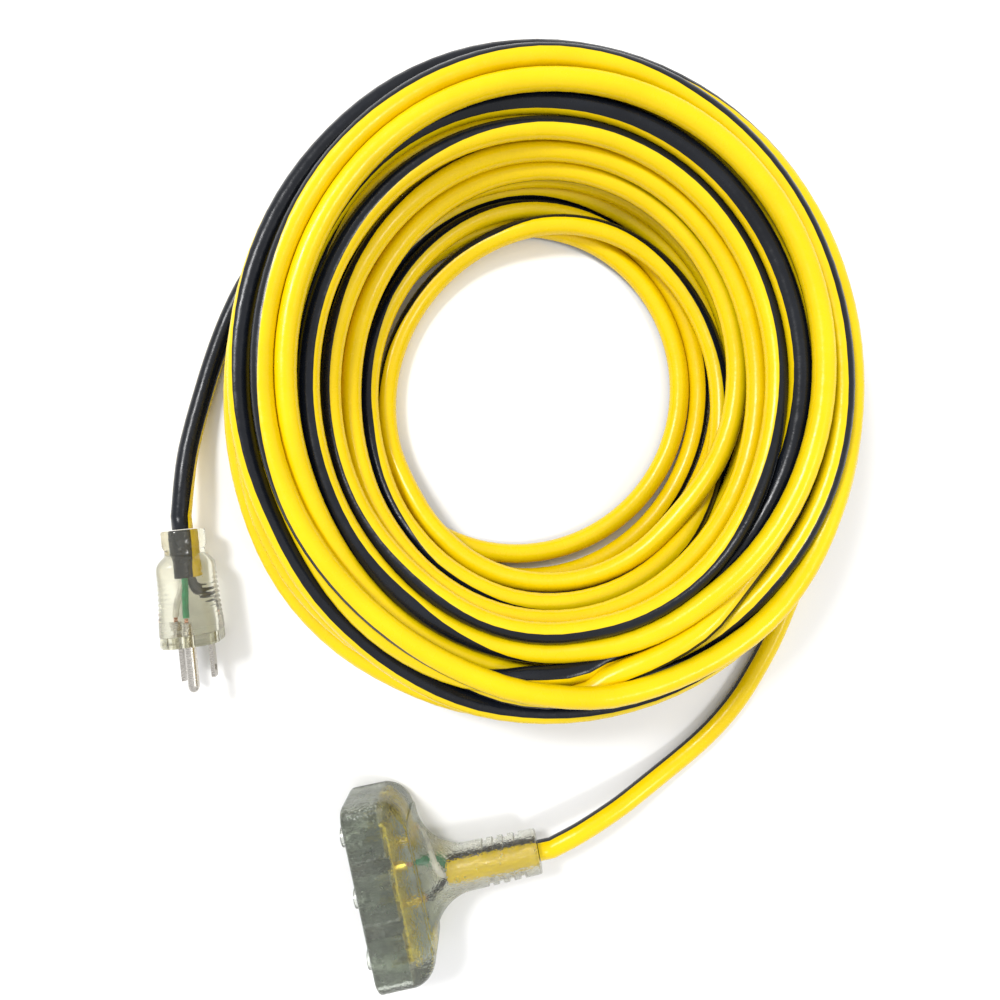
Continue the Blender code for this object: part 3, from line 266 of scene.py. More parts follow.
def place_of(point):
    """The angle round the coil of a ground point, and how far out it lies."""
    angle = np.linspace(-math.pi, math.pi, 7201)
    base, out = section(angle)
    away = np.array(point[:2]) - base
    offset = (away * out).sum(-1)
    miss = np.linalg.norm(away - offset[:, None] * out, axis=-1) + (offset < 0)
    best = int(np.argmin(miss))
    return float(angle[best]), float(offset[best])


def height_seen(outward):
    """Height of the heap's top for a distance outward in cords, as used for SHOWN."""
    return np.minimum(RADIUS + COIL_SLOPE * np.maximum(outward, 0), COIL_TOP)


def true_offset(angle, outward, height):
    """Where a turn must lie, at its own height, to be seen at that place on the heap from above."""
    base, out = section(angle)
    eye = np.array(CAMERA[:2])
    seen = base + (outward * CORD)[:, None] * out
    scale = (CAMERA[2] - height) / (CAMERA[2] - height_seen(outward))
    flat = eye + (seen - eye) * scale[:, None]
    return ((flat - base) * out).sum(-1)


def chain(table, first_turn):
    """Knots of a per-turn table as one row: angle summed over the turns, then the other columns."""
    rows = []
    for turn, knots in enumerate(table):
        rows += [(math.radians(knot[0]) + 2 * math.pi * (first_turn + turn), *knot[1:]) for knot in knots]
    return np.array(rows).T


def settle():
    """Angle of every station, and its offset outward and height, packed without overlaps."""
    slots = coil_slots()
    start, start_offset = place_of(TAP_TAIL[-1])
    end, end_offset = place_of(PLUG_TAIL[0])
    turns = len(slots) + len(SHOWN) - 1
    ticks = int(round((turns - 1 + (end - start) / (2 * math.pi)) * STATIONS)) + 1
    sweep = np.linspace(0, (turns - 1) * 2 * math.pi + end - start, ticks)
    turn = np.floor(sweep / (2 * math.pi) + 1e-9).astype(int)
    angle = start + sweep
    local = angle - 2 * math.pi * turn
    share = smoothstep((local - STEP_START) / (STEP_END - STEP_START))
    place = np.array(slots + [slots[-1]] * (len(SHOWN) + 1), dtype=float)
    here, after = place[turn], place[turn + 1]
    column = here[:, 0] + (after[:, 0] - here[:, 0]) * share
    row = here[:, 1] + (after[:, 1] - here[:, 1]) * share
    shift = (RIGHT_SHIFT * bump(angle, RIGHT, RIGHT_SPREAD)
             + FRONT_SHIFT * bump(angle, FRONT, FRONT_SPREAD))
    phase = turn * WANDER_PHASE
    wander = (WANDER_TWICE * np.sin(2 * angle + phase)
              + WANDER_THRICE * np.sin(3 * angle + 1.7 * phase))
    want = np.stack([(column + shift + wander) * CORD, RADIUS + row * ROW_RISE], axis=1)
    knots = chain(SHOWN, len(slots) - 1)
    shown = angle > knots[0][0]
    outward = np.interp(angle[shown], knots[0], knots[1])
    height = np.interp(angle[shown], knots[0], knots[2]) / 1000
    want[shown, 0] = true_offset(angle[shown], outward, height)
    want[shown, 1] = height
    fade = 1 - smoothstep(np.arange(JOIN_STATIONS) / (JOIN_STATIONS - 1))
    want[:JOIN_STATIONS, 0] += (start_offset - want[0, 0]) * fade
    fade = smoothstep(np.arange(1, LEAVE_STATIONS + 1) / LEAVE_STATIONS)
    want[-LEAVE_STATIONS:, 0] += (end_offset - want[-1, 0]) * fade
    want[-LEAVE_STATIONS:, 1] += (PLUG_TAIL[0][2] - want[-1, 1]) * fade
    pull = np.where(shown, SHOWN_PULL, HIDDEN_PULL)[:, None]
    weight = np.where(shown, SHOWN_WEIGHT, 1.0)
    want = smoothed(want, SETTLE_SMOOTHING, passes=2)
    now = want.copy()
    for attempt in range(SETTLE_STEPS):
        now += pull * (1 - attempt / SETTLE_STEPS) * (want - now)
        now = smoothed(now, SETTLE_SMOOTHING, passes=3)
        now = part_turns(now, weight, turns)
        hold_ends(now, want)
    for _ in range(FINAL_STEPS):
        now = part_turns(smoothed(now, FINAL_SMOOTHING), weight, turns)
    hold_ends(now, want)
    return angle, now


def smoothed(points, amount, passes=1):
    """Points moved towards the middle of their neighbours, passes times."""
    points = points.copy()
    for _ in range(passes):
        points[1:-1] += amount * (points[:-2] + points[2:] - 2 * points[1:-1])
    return points


def hold_ends(now, want):
    """Keep the coil's first and last three stations where its tails meet them."""
    now[:3] = want[:3]
    now[-3:] = want[-3:]


def part_turns(points, weight, turns):
    """Move turns that overlap at the same station apart, and keep them above the floor."""
    cells = (turns + 1) * STATIONS
    grid = np.full((cells, 2), 9.0)
    grid[:len(points)] = points
    heavy = np.ones(cells)
    heavy[:len(points)] = weight
    grid = grid.reshape(turns + 1, STATIONS, 2).transpose(1, 0, 2)
    heavy = heavy.reshape(turns + 1, STATIONS).T
    apart = grid[:, :, None, :] - grid[:, None, :, :]
    distance = np.sqrt((apart ** 2).sum(-1))
    near = (distance > 1e-9) & (distance < CORD)
    push = np.where(near, (CORD - distance) / np.maximum(distance, 1e-6), 0.0)
    share = heavy[:, None, :] / (heavy[:, :, None] + heavy[:, None, :])
    grid = grid + PART_SHARE * (apart * (push * share)[..., None]).sum(2)
    points = grid.transpose(1, 0, 2).reshape(-1, 2)[:len(points)].copy()
    points[:, 1] = np.maximum(points[:, 1], RADIUS)
    return points


def catmull(knots, spacing):
    """Evenly spaced points on a smooth curve through knots."""
    knots = np.array(knots, dtype=float)
    knots = np.vstack([2 * knots[0] - knots[1], knots, 2 * knots[-1] - knots[-2]])
    fine = []
    t = np.linspace(0, 1, 16, endpoint=False)[:, None]
    for a, b, c, d in zip(knots, knots[1:], knots[2:], knots[3:]):
        fine.append(0.5 * (2 * b + (c - a) * t + (2 * a - 5 * b + 4 * c - d) * t ** 2
                           + (3 * b - a - 3 * c + d) * t ** 3))
    fine = np.vstack(fine + [knots[-2:-1]])
    lengths = run_of(fine)
    wanted = np.linspace(0, lengths[-1], max(2, int(round(lengths[-1] / spacing)) + 1))
    return np.stack([np.interp(wanted, lengths, fine[:, i]) for i in range(3)], axis=1)


def run_of(points):
    """Distance along the points from the first."""
    return np.concatenate([[0.0], np.cumsum(np.linalg.norm(np.diff(points, axis=0), axis=1))])


def plug_matrix():
    """The plug's place: its own X runs out of the middle of its front face."""
    turn = Matrix.Rotation(PLUG_HEADING, 4, "Z") @ Matrix.Rotation(PLUG_ROLL, 4, "X")
    return Matrix.Translation(PLUG_POSITION) @ turn


def cord_path():
    """The whole centre line from the tap to the plug, and which way the stripe faces along it."""
    angle, place = settle()
    base, out = section(angle)
    coil = np.concatenate([base + place[:, :1] * out, place[:, 1:]], axis=1)
    lead = np.array(TAP_EXIT) + (CORD_LEAD, 0, 0)
    at = plug_matrix()
    plug_neck = np.array(at @ Vector((-PLUG_LENGTH - GAP, 0, 0)))
    plug_lead = np.array(at @ Vector((-PLUG_LENGTH - GAP - CORD_LEAD, 0, 0)))
    first = catmull([lead, *TAP_TAIL[:-1], coil[0], coil[3]], CORD / 2)
    last = catmull([coil[-4], coil[-1], *PLUG_TAIL[1:], plug_lead], CORD / 2)
    keep_first = np.linalg.norm(first - coil[0], axis=1).argmin()
    keep_last = np.linalg.norm(last - coil[-1], axis=1).argmin() + 1
    path = np.vstack([[TAP_EXIT], first[:keep_first], coil, last[keep_last:], [plug_neck]])
    path[:, 2] = np.maximum(path[:, 2], RADIUS)
    facing = stripe_facing(angle)
    near_tap = TAP_STRIPE + 360 * round((facing[0] - TAP_STRIPE) / 360)
    whole_turns = 360 * round((facing[-1] - PLUG_STRIPES[0]) / 360)
    near_plug = [whole_turns + stripe for stripe in PLUG_STRIPES]
    tap_share = np.linspace(0, 1, keep_first + 1)
    tap_side = np.interp(tap_share, STRIPE_KNOTS, [near_tap] * 3 + [facing[0]])
    plug_share = np.linspace(0, 1, len(last) - keep_last + 1)
    plug_side = np.interp(plug_share, STRIPE_KNOTS, [facing[-1]] + near_plug)
    return path, np.concatenate([tap_side, facing, plug_side])


def stripe_facing(angle):
    """Direction of the stripe's middle at every station, in degrees, without whole-turn jumps."""
    hidden = len(coil_slots())
    shown = chain(SHOWN_STRIPES, hidden - 1)
    middle, reach = STRIPE_SWAY
    per_turn, per_quarter = STRIPE_PHASE
    knots, values = [], []
    for turn in range(hidden):
        sway = [middle + reach * math.sin(per_turn * turn + per_quarter * part) for part in range(4)]
        for part, facing in enumerate(HIDDEN_STRIPES.get(turn, sway)):
            knot = 2 * math.pi * turn + math.pi / 2 * part
            if knot < shown[0][0]:
                knots.append(knot)
                values.append(facing)
    knots = np.concatenate([knots, shown[0]])
    values = np.concatenate([values, shown[1]])
    return np.interp(angle, knots, np.degrees(np.unwrap(np.radians(values))))


def tube(name, path, facing, diameter, sides):
    """A round cord as a mesh, its first side turned to where the stripe faces.

    Its UV map "along" has metres along the cord as U and the share of the way round as V.
    """
    along = np.gradient(path, axis=0)
    along /= np.linalg.norm(along, axis=1)[:, None]
    side = np.cross(along, (0.0, 0.0, 1.0))
    side /= np.linalg.norm(side, axis=1)[:, None]
    rise = np.cross(side, along)
    around = np.radians(facing)[:, None] + np.arange(sides) / sides * 2 * math.pi
    ring = np.cos(around)[..., None] * side[:, None] + np.sin(around)[..., None] * rise[:, None]
    points = path[:, None] + ring * diameter / 2
    count = len(path)
    first = np.arange(count - 1)[:, None] * sides
    one = np.arange(sides)[None]
    two = (one + 1) % sides
    quads = np.stack([first + one, first + two, first + sides + two, first + sides + one], axis=-1)
    faces = quads.reshape(-1, 4).tolist()
    faces.append(list(range(sides)))
    faces.append(list(range(count * sides - sides, count * sides))[::-1])
    mesh = bpy.data.meshes.new(name)
    mesh.from_pydata(points.reshape(-1, 3).tolist(), [], faces)
    run = run_of(path)
    u = np.stack([run[:-1], run[:-1], run[1:], run[1:]], axis=-1)[:, None].repeat(sides, axis=1)
    near, far = np.arange(sides), np.arange(1, sides + 1)
    v = np.broadcast_to(np.stack([near, far, far, near], axis=-1)[None] / sides, u.shape)
    flat = np.stack([u, v], axis=-1).reshape(-1, 2)
    layer = mesh.uv_layers.new(name="along")
    full = np.zeros((len(mesh.loops), 2))
    full[:len(flat)] = flat
    layer.data.foreach_set("uv", full.ravel())
    mesh.shade_smooth()
    mesh.update()
    made = bpy.data.objects.new(name, mesh)
    bpy.context.collection.objects.link(made)
    return made


# ---- materials -------------------------------------------------------------------------------
class Nodes:
    """A short way to build a material's nodes."""

    def __init__(self, name):
        self.material = bpy.data.materials.new(name)
        self.material.use_nodes = True
        self.tree = self.material.node_tree
        self.shader = self.tree.nodes["Principled BSDF"]

    def add(self, kind, links=(), **values):
        node = self.tree.nodes.new(kind)
        inputs = values.pop("inputs", {})
        for key, value in values.items():
            setattr(node, key, value)
        for key, value in inputs.items():
            node.inputs[key].default_value = value
        for key, source in dict(links).items():
            self.tree.links.new(source, node.inputs[key])
        return node

    def maths(self, operation, a, b=None):
        node = self.add("ShaderNodeMath", operation=operation)
        for i, value in enumerate((a, b)):
            if value is None:
                continue
            if isinstance(value, (int, float)):
                node.inputs[i].default_value = value
            else:
                self.tree.links.new(value, node.inputs[i])
        return node.outputs[0]

    def mix(self, share, a, b):
        node = self.add("ShaderNodeMix", data_type="RGBA")
        for socket, value in ((node.inputs[0], share), (node.inputs[6], a), (node.inputs[7], b)):
            if isinstance(value, (int, float, tuple)):
                socket.default_value = value
            else:
                self.tree.links.new(value, socket)
        return node.outputs[2]

    def ramp(self, source, stops):
        node = self.add("ShaderNodeValToRGB", {"Fac": source})
        elements = node.color_ramp.elements
        while len(elements) < len(stops):
            elements.new(0.5)
        for element, (position, colour) in zip(elements, stops):
            element.position = position
            element.color = colour
        return node.outputs["Color"]

    def noise(self, coordinates, scale, detail=3.0, roughness=0.5):
        return self.add("ShaderNodeTexNoise", {"Vector": coordinates},
                        inputs={"Scale": scale, "Detail": detail, "Roughness": roughness}).outputs["Fac"]

    def stretched(self, coordinates, scale):
        node = self.add("ShaderNodeMapping", {"Vector": coordinates}, inputs={"Scale": scale})
        return node.outputs["Vector"]

    def bump(self, height, distance, strength=1.0):
        node = self.add("ShaderNodeBump", {"Height": height},
                        inputs={"Distance": distance, "Strength": strength})
        self.tree.links.new(node.outputs["Normal"], self.shader.inputs["Normal"])

    def set(self, **values):
        for key, value in values.items():
            socket = self.shader.inputs[key.replace("_", " ")]
            if isinstance(value, bpy.types.NodeSocket):
                self.tree.links.new(value, socket)
            else:
                socket.default_value = value


def grey(value):
    """A ramp's colour for a plain value."""
    return (value, value, value, 1)


def clear_pvc(name, tint, roughness, pebbled):
    """Clear flexible PVC: the tap's is pebbled and paler at its neck, the rest has flow marks."""
    n = Nodes(name)
    place = n.add("ShaderNodeTexCoord").outputs["Object"]
    cloud = n.noise(place, 90.0, 4.0)
    light = tuple(min(1.0, 1.12 * part) for part in tint)
    dark = tuple(0.86 * part for part in tint)
    colour = n.ramp(cloud, [(0.35, (*dark, 1)), (0.65, (*light, 1))])
    if pebbled:
        x = n.add("ShaderNodeSeparateXYZ", {"Vector": place}).outputs["X"]
        neck = n.maths("DIVIDE", n.maths("SUBTRACT", x, THIN_FROM_X), THIN_TO_X - THIN_FROM_X)
        colour = n.mix(n.ramp(neck, [(0.0, grey(0)), (1.0, grey(1))]), colour, NECK_TINT)
    n.set(Base_Color=colour)
    flow = n.noise(place, 260.0, 3.0)
    n.set(Roughness=n.ramp(flow, [(0.3, grey(0.7 * roughness)), (0.7, grey(1.3 * roughness))]))
    if pebbled:
        pebbles = n.add("ShaderNodeTexVoronoi", {"Vector": place}, inputs={"Scale": 1000.0})
        coarse = n.noise(place, 500.0, 2.0)
        height = n.maths("ADD", pebbles.outputs["Distance"], n.maths("MULTIPLY", coarse, 1.2))
        n.bump(height, 0.0004, 0.6)
    else:
        n.bump(flow, 0.0006, 0.25)
    n.set(Transmission_Weight=0.96, IOR=1.42, Specular_IOR_Level=0.6)
    return n.material


def brass_sheet():
    """Bright stamped brass with faint rolling marks."""
    n = Nodes("brass_strip")
    place = n.add("ShaderNodeTexCoord").outputs["Object"]
    cloud = n.noise(place, 180.0, 3.0)
    n.set(Base_Color=n.ramp(cloud, [(0.3, (0.72, 0.52, 0.06, 1)), (0.7, (0.92, 0.78, 0.16, 1))]))
    rolled = n.noise(n.stretched(place, (1, 12, 12)), 300.0)
    n.set(Roughness=n.ramp(rolled, [(0.3, grey(0.22)), (0.7, grey(0.40))]))
    n.bump(rolled, 0.0001, 0.3)
    n.set(Metallic=0.85)
    return n.material


def nickel_plate():
    """Nickel-plated blade: satin, with fine lengthwise lines and a slightly warm tone."""
    n = Nodes("nickel_plate")
    place = n.add("ShaderNodeTexCoord").outputs["Object"]
    lines = n.noise(n.stretched(place, (1, 9, 9)), 350.0)
    n.set(Base_Color=n.ramp(lines, [(0.3, (0.42, 0.40, 0.37, 1)), (0.7, (0.66, 0.63, 0.58, 1))]))
    n.set(Roughness=n.ramp(lines, [(0.3, grey(0.20)), (0.7, grey(0.34))]))
    n.bump(lines, 0.0001, 0.25)
    n.set(Metallic=1.0)
    return n.material


def copper_strands():
    """Bare copper wires twisted into a bundle, with painted shade in the grooves between the wires."""
    n = Nodes("copper_strands")
    place = n.add("ShaderNodeTexCoord").outputs["Object"]
    twist = n.add("ShaderNodeTexWave", {"Vector": place}, bands_direction="DIAGONAL",
                  inputs={"Scale": 420.0, "Distortion": 0.6}).outputs["Fac"]
    # The ramp's dark end is painted shade in the grooves between the twisted wires; its bright end is the
    # copper itself.
    n.set(Base_Color=n.ramp(twist, [(0.2, (0.30, 0.12, 0.05, 1)), (0.6, (0.90, 0.52, 0.36, 1))]))
    n.set(Roughness=n.ramp(twist, [(0.2, grey(0.5)), (0.7, grey(0.28))]))
    n.bump(twist, 0.0002, 0.6)
    n.set(Metallic=1.0)
    return n.material


def core_insulation(name, colour):
    """Thin coloured PVC round one conductor."""
    n = Nodes(name)
    place = n.add("ShaderNodeTexCoord").outputs["Object"]
    cloud = n.noise(place, 240.0, 3.0)
    dark = tuple(0.8 * part for part in colour)
    light = tuple(min(1.0, 1.15 * part) for part in colour)
    n.set(Base_Color=n.ramp(cloud, [(0.3, (*dark, 1)), (0.7, (*light, 1))]))
    n.set(Roughness=n.ramp(cloud, [(0.3, grey(0.30)), (0.7, grey(0.44))]))
    n.bump(cloud, 0.0002, 0.2)
    return n.material


def cord_material():
    """Glossy yellow jacket with one soft-edged black stripe."""
    n = Nodes("striped_jacket")
    uv = n.add("ShaderNodeUVMap", uv_map="along").outputs["UV"]
    parts = n.add("ShaderNodeSeparateXYZ", {"Vector": uv})
    place = n.add("ShaderNodeTexCoord").outputs["Object"]
    away = n.maths("ABSOLUTE", n.maths("SUBTRACT", parts.outputs["Y"], 0.5))
    wave = n.maths("MULTIPLY", n.noise(place, 60.0, 2.0), 0.012)
    edge = n.maths("ADD", away, wave)
    limit = 0.5 - STRIPE_WIDTH / 720
    stripe = n.ramp(edge, [(limit - 0.002, grey(0)), (limit + 0.002, grey(1))])
    cloud = n.noise(place, 35.0, 3.0)
    yellow = n.ramp(cloud, [(0.3, (0.76, 0.54, 0.0, 1)), (0.7, (0.83, 0.60, 0.002, 1))])
    black = n.ramp(cloud, [(0.3, (0.004, 0.005, 0.008, 1)), (0.7, (0.008, 0.010, 0.015, 1))])
    n.set(Base_Color=n.mix(stripe, yellow, black))
    scuff = n.noise(place, 220.0, 4.0)
    n.set(Roughness=n.ramp(scuff, [(0.3, grey(0.20)), (0.75, grey(0.34))]))
    broad, fine = n.noise(place, 140.0, 2.0), n.noise(place, 900.0, 2.0)
    n.bump(n.maths("ADD", broad, n.maths("MULTIPLY", fine, 0.15)), 0.0006, 0.35)
    n.set(Specular_IOR_Level=0.3)
    return n.material


# ---- cord ------------------------------------------------------------------------------------
def add_cord(jacket):
    """The cord from the tap to the plug, in one piece."""
    path, facing = cord_path()
    cord = tube("cord", path, facing, CORD, CORD_SIDES)
    cord.data.materials.append(jacket)
    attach(cord, "root")
    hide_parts("cord_coil", "cord_tap_tail", "cord_plug_tail")
    replaced = ("plug_housing", "plug_jacket_end")
    on_it = [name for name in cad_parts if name.startswith("plug_") and name not in replaced]
    on_it += ["plug_body", "plug_jacket"]


# ---- clear tap -------------------------------------------------------------------------------
def rounded_ring(x, half_y, half_z, radius, steps):
    """A rounded rectangle across X, centred on the axis."""
    radius = min(radius, half_y, half_z)
    ring = []
    for corner in range(4):
        side_y = 1 if corner in (0, 3) else -1
        side_z = 1 if corner in (0, 1) else -1
        for step in range(steps + 1):
            angle = math.pi / 2 * (corner + step / steps)
            y = side_y * (half_y - radius) + radius * math.cos(angle)
            z = side_z * (half_z - radius) + radius * math.sin(angle)
            ring.append((x, y, z))
    return ring


def skin(name, rings, place=None):
    """A closed smooth skin through rings of equal point count."""
    bm = bmesh.new()
    loops = [[bm.verts.new(point) for point in ring] for ring in rings]
    count = len(rings[0])
    for low, high in zip(loops, loops[1:]):
        for i in range(count):
            j = (i + 1) % count
            bm.faces.new((low[i], low[j], high[j], high[i]))
    bm.faces.new(loops[0])
    bm.faces.new(loops[-1])
    bmesh.ops.remove_doubles(bm, verts=bm.verts, dist=1e-6)
    bmesh.ops.recalc_face_normals(bm, faces=bm.faces)
    mesh = bpy.data.meshes.new(name)
    bm.to_mesh(mesh)
    bm.free()
    mesh.shade_smooth()
    mesh.set_sharp_from_angle(angle=SHARP_ANGLE)
    made = bpy.data.objects.new(name, mesh)
    if place is not None:
        made.matrix_world = place
    bpy.context.collection.objects.link(made)
    return made


def cut(target, cutter):
    """Cut one mesh out of another and keep only the result."""
    change = target.modifiers.new("cut", "BOOLEAN")
    change.operation = "DIFFERENCE"
    change.solver = "EXACT"
    change.object = cutter
    bpy.context.view_layer.update()
    result = target.evaluated_get(bpy.context.evaluated_depsgraph_get())
    mesh = bpy.data.meshes.new_from_object(result)
    target.modifiers.clear()
    target.data = mesh
    mesh.set_sharp_from_angle(angle=SHARP_ANGLE)
    bpy.data.objects.remove(cutter, do_unlink=True)


def tap_stations():
    """(distance from the outlet face, half length, half height, corner radius) down the tap."""
    neck = NECK_DIAMETER / 2
    half_length, half_height = TAP_LENGTH / 2, TAP_HEIGHT / 2
    rows = []
    for step in range(EDGE_STEPS + 1):
        angle = math.pi / 2 * step / EDGE_STEPS
        depth = TAP_EDGE * (1 - math.cos(angle))
        trim = TAP_EDGE * (1 - math.sin(angle))
        rows.append((depth, half_length - trim, half_height - trim, TAP_CORNER))
    for step in range(1, BACK_STEPS + 1):
        angle = math.pi / 2 * step / BACK_STEPS
        fall = 1 - math.cos(angle)
        depth = TAP_BAR_DEPTH - TAP_BACK_RADIUS * (1 - math.sin(angle))
        half_y, half_z = half_length - TAP_BACK_RADIUS * fall, half_height - TAP_BACK_DRAFT * fall
        rows.append((depth, half_y, half_z, TAP_CORNER))
    shoulder = rows[-1][2]
    for step in range(FILLET_STEPS + 1):
        angle = math.pi / 2 * step / FILLET_STEPS
        left = 1 - math.sin(angle)
        depth = TAP_BAR_DEPTH + TAP_LAND + TAP_FILLET * (1 - math.cos(angle))
        half_z = neck + (shoulder - neck) * left ** TAP_HEIGHT_FALL
        corner = TAP_CORNER + (neck - TAP_CORNER) * math.sin(angle)
        rows.append((depth, neck + TAP_FILLET * left, half_z, corner))
    return rows


def neck_rings(start, end):
    """Rings down the round neck, drawn in where a window is pressed into its two sides."""
    first = end - NECK_COLLAR - NECK_WINDOWS * NECK_PITCH
    rings = []
    for step in range(1, NECK_STEPS + 1):
        share = step / NECK_STEPS
        x = start + (end - start) * share
        radius = NECK_DIAMETER / 2 + (NECK_END_DIAMETER - NECK_DIAMETER) / 2 * share
        if step == NECK_STEPS:
            radius -= NECK_CHAMFER
        row = (x - first) / NECK_PITCH
        inside = 0 < row < NECK_WINDOWS and (row % 1.0) < NECK_WINDOW_SHARE
        depth = NECK_WINDOW_DEPTH / radius if inside else 0.0
        ring = []
        for _, y, z in rounded_ring(x, radius, radius, radius, 12):
            side = bump(2 * math.atan2(z, y), 0.0, 2 * NECK_WINDOW_HALF_ANGLE)
            shrink = 1 - depth * side ** NECK_WINDOW_STEEPNESS
            ring.append((x, y * shrink, z * shrink))
        rings.append(ring)
    return rings


def add_tap_body():
    """The clear moulded T with the windows for its outlets and a windowed, flexible neck."""
    rings = [rounded_ring(FACE_X + x, y, z, corner, 12) for x, y, z, corner in tap_stations()]
    rings += neck_rings(rings[-1][0][0], FACE_X + TAP_REACH)
    body = skin("tap_body", rings, Matrix.Translation((0.0, 0.0, AXIS_Z)))
    for number in (1, 2, 3):
        low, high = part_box(f"outlet_{number}")
        half_y, half_z = (high[1] - low[1]) / 2 + GAP, TAP_WINDOW_HEIGHT / 2 + GAP
        ends = (FACE_X - TAP_EDGE, high[0] + GAP)
        window = [rounded_ring(x, half_y, half_z, WINDOW_CORNER, 4) for x in ends]
        middle = (low[1] + high[1]) / 2
        cut(body, skin("window", window, Matrix.Translation((0.0, middle, AXIS_Z))))
    body.data.materials.clear()
    body.data.materials.append(clear_pvc("clear_tap", TAP_TINT, 0.22, pebbled=True))
    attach(body, "root")
    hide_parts("tap_housing")


# ---- clear plug ------------------------------------------------------------------------------
def plug_rows():
    """(place along X, half width, half height, corner radius), from the back to the shoulders."""
    neck, thin = PLUG_NECK / 2, PLUG_WAIST / 2
    back = -PLUG_LENGTH
    collar = back + PLUG_COLLAR
    waist = collar + PLUG_WAIST_LENGTH
    rows = []
    for x, radius, corner in (
        (back, neck - PLUG_COLLAR_EDGE, neck),
        (back + PLUG_COLLAR_EDGE / 2, neck - PLUG_COLLAR_EDGE / 3, neck),
        (back + PLUG_COLLAR_EDGE * 1.5, neck, neck),
        (collar - PLUG_COLLAR_FALL, neck, neck),
        (collar - PLUG_COLLAR_FALL * 4 / 9, (neck + thin) / 2, neck),
        (collar, thin, thin),
        (waist, thin, thin),
    ):
        rows.append((x, radius, radius, corner))
    for step in range(1, SHOULDER_STEPS + 1):
        share = step / SHOULDER_STEPS
        ease = math.sin(math.pi / 2 * share)
        y = thin + (PLUG_SHOULDER_WIDTH / 2 - thin) * ease
        z = thin + (PLUG_SHOULDER_HEIGHT / 2 - thin) * ease
        rows.append((waist + PLUG_SHOULDER * share, y, z, thin + (PLUG_CORNER - thin) * share))
    return rows


def grip_rings(shoulder, end):
    """Rings of the plug's body, drawn in at its flanks between the ribs."""
    rings = []
    for step in range(1, GRIP_STEPS + 1):
        share = step / GRIP_STEPS
        x = shoulder + (end - shoulder) * share
        half_y = (PLUG_SHOULDER_WIDTH + (PLUG_WIDTH - PLUG_SHOULDER_WIDTH) * share) / 2
        half_z = (PLUG_SHOULDER_HEIGHT + (PLUG_HEIGHT - PLUG_SHOULDER_HEIGHT) * share) / 2
        groove = 0.5 - 0.5 * math.cos(2 * math.pi * (x - shoulder) / RIB_PITCH)
        within = bump(x, shoulder + RIB_MIDDLE, RIB_SPAN / 2) ** 0.5
        ring = []
        for _, y, z in rounded_ring(x, half_y, half_z, PLUG_CORNER, 8):
            flank = smoothstep((abs(y) / half_y - FLANK_FROM) / FLANK_OVER)
            pressed = 1 - RIB_DEPTH / half_y * groove * within * flank
            ring.append((x, y * pressed, z))
        rings.append(ring)
    return rings


def add_plug_body():
    """The clear plug: collar, waist, shoulders and a body with short grip ribs on both flanks."""
    rings = [rounded_ring(x, y, z, corner, 8) for x, y, z, corner in plug_rows()]
    rings += grip_rings(rings[-1][0][0], -PLUG_FACE - GAP)
    body = skin("plug_body", rings, plug_matrix())
    body.data.materials.append(clear_pvc("clear_plug", PLUG_TINT, 0.10, pebbled=False))
    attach(body, "root")
    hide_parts("plug_housing")


# ---- pieces of the CAD that stay in view -----------------------------------------------------
def dress_inner_pieces():
    """Give every CAD piece that still shows its own finished material."""
    clear_outlet = clear_pvc("clear_outlet", OUTLET_TINT, 0.18, pebbled=False)
    clear_face = clear_pvc("clear_face", FACE_TINT, 0.16, pebbled=False)
    brass, nickel, copper = brass_sheet(), nickel_plate(), copper_strands()
    cores = {pole: core_insulation(f"{pole}_core", colour) for pole, colour in CORE_COLOURS.items()}
    for name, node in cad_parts.items():
        if name.startswith("outlet_"):
            finish = clear_outlet
        elif name == "plug_face":
            finish = clear_face
        elif "_contact_" in name or name.endswith("_bus"):
            finish = brass
        elif name.endswith(("_blade", "_pin")):
            finish = nickel
        elif name.endswith("_strands"):
            finish = copper
        elif name.endswith("_conductor"):
            finish = cores[name.split("_")[1]]
        else:
            continue
        node.data.materials.clear()
        node.data.materials.append(finish)


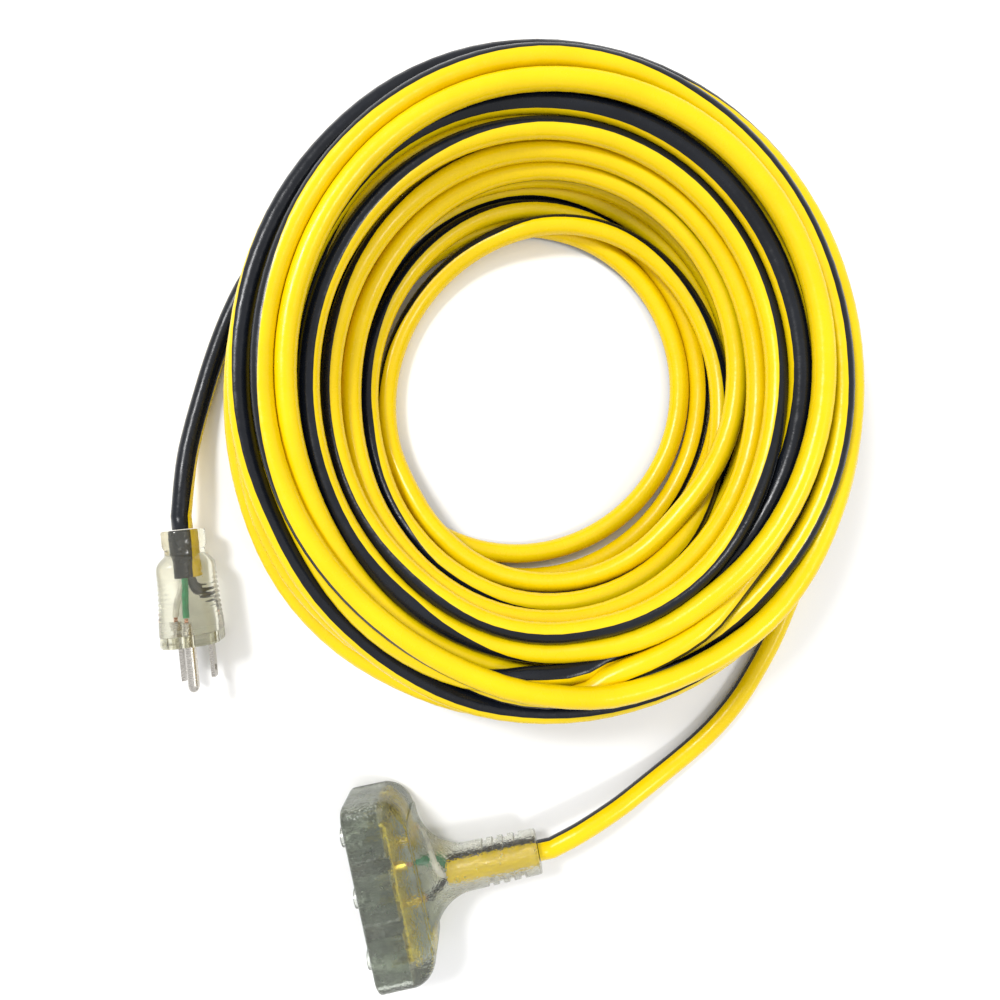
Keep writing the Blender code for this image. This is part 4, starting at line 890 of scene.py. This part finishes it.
def add_jacket_ends(jacket):
    """The stripped ends of the cord's jacket inside the tap's neck and the plug."""
    low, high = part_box("tap_jacket_end")
    tap_line = np.linspace((low[0], 0, AXIS_Z), (high[0], 0, AXIS_Z), 24)
    at = plug_matrix()
    plug_xs = np.linspace(-PLUG_LENGTH, PLUG_JACKET_X, 16)
    plug_line = np.array([at @ Vector((x, 0, 0)) for x in plug_xs])
    ends = (("tap_jacket", tap_line, TAP_STRIPE), ("plug_jacket", plug_line, PLUG_STRIPES[-1]))
    for name, line, facing in ends:
        piece = tube(name, line, np.full(len(line), facing), CORD, JACKET_SIDES)
        piece.data.materials.append(jacket)
        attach(piece, "root")
        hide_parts(f"{name}_end")


# ---- floor, light and camera -----------------------------------------------------------------
def add_stage():
    """A plain pale floor, an even white sky and two soft lamps."""
    mesh = bpy.data.meshes.new("floor")
    corners = [(x * FLOOR_HALF, y * FLOOR_HALF, 0) for x, y in ((-1, -1), (1, -1), (1, 1), (-1, 1))]
    mesh.from_pydata(corners, [], [(0, 1, 2, 3)])
    floor = bpy.data.objects.new("floor", mesh)
    bpy.context.collection.objects.link(floor)
    n = Nodes("pale_floor")
    n.set(Base_Color=FLOOR_COLOUR, Roughness=FLOOR_ROUGHNESS)
    mesh.materials.append(n.material)
    world = bpy.data.worlds.new("studio")
    bpy.context.scene.world = world
    world.use_nodes = True
    sky = world.node_tree.nodes["Background"].inputs
    sky["Color"].default_value = (1, 1, 1, 1)
    sky["Strength"].default_value = SKY_STRENGTH
    for name, where, power, size in LIGHTS:
        light = bpy.data.lights.new(name, "AREA")
        light.energy = power
        light.size = size
        lamp = bpy.data.objects.new(name, light)
        lamp.location = where
        towards = Vector(LIGHT_TARGET) - Vector(where)
        lamp.rotation_euler = towards.to_track_quat("-Z", "Y").to_euler()
        bpy.context.collection.objects.link(lamp)


def add_camera():
    """The camera straight above, turned as the coil is."""
    camera = bpy.data.objects.new("camera", bpy.data.cameras.new("camera"))
    camera.data.lens = LENS
    camera.data.sensor_width = SENSOR
    camera.data.clip_start = CLIP_START
    camera.location = CAMERA
    camera.rotation_euler = (0, 0, CAMERA_TURN)
    bpy.context.collection.objects.link(camera)
    bpy.context.scene.camera = camera
    bpy.context.scene.view_settings.view_transform = "Standard"


add_camera()
add_stage()
striped_jacket = cord_material()
add_tap_body()
add_plug_body()
add_jacket_ends(striped_jacket)
dress_inner_pieces()
add_cord(striped_jacket)
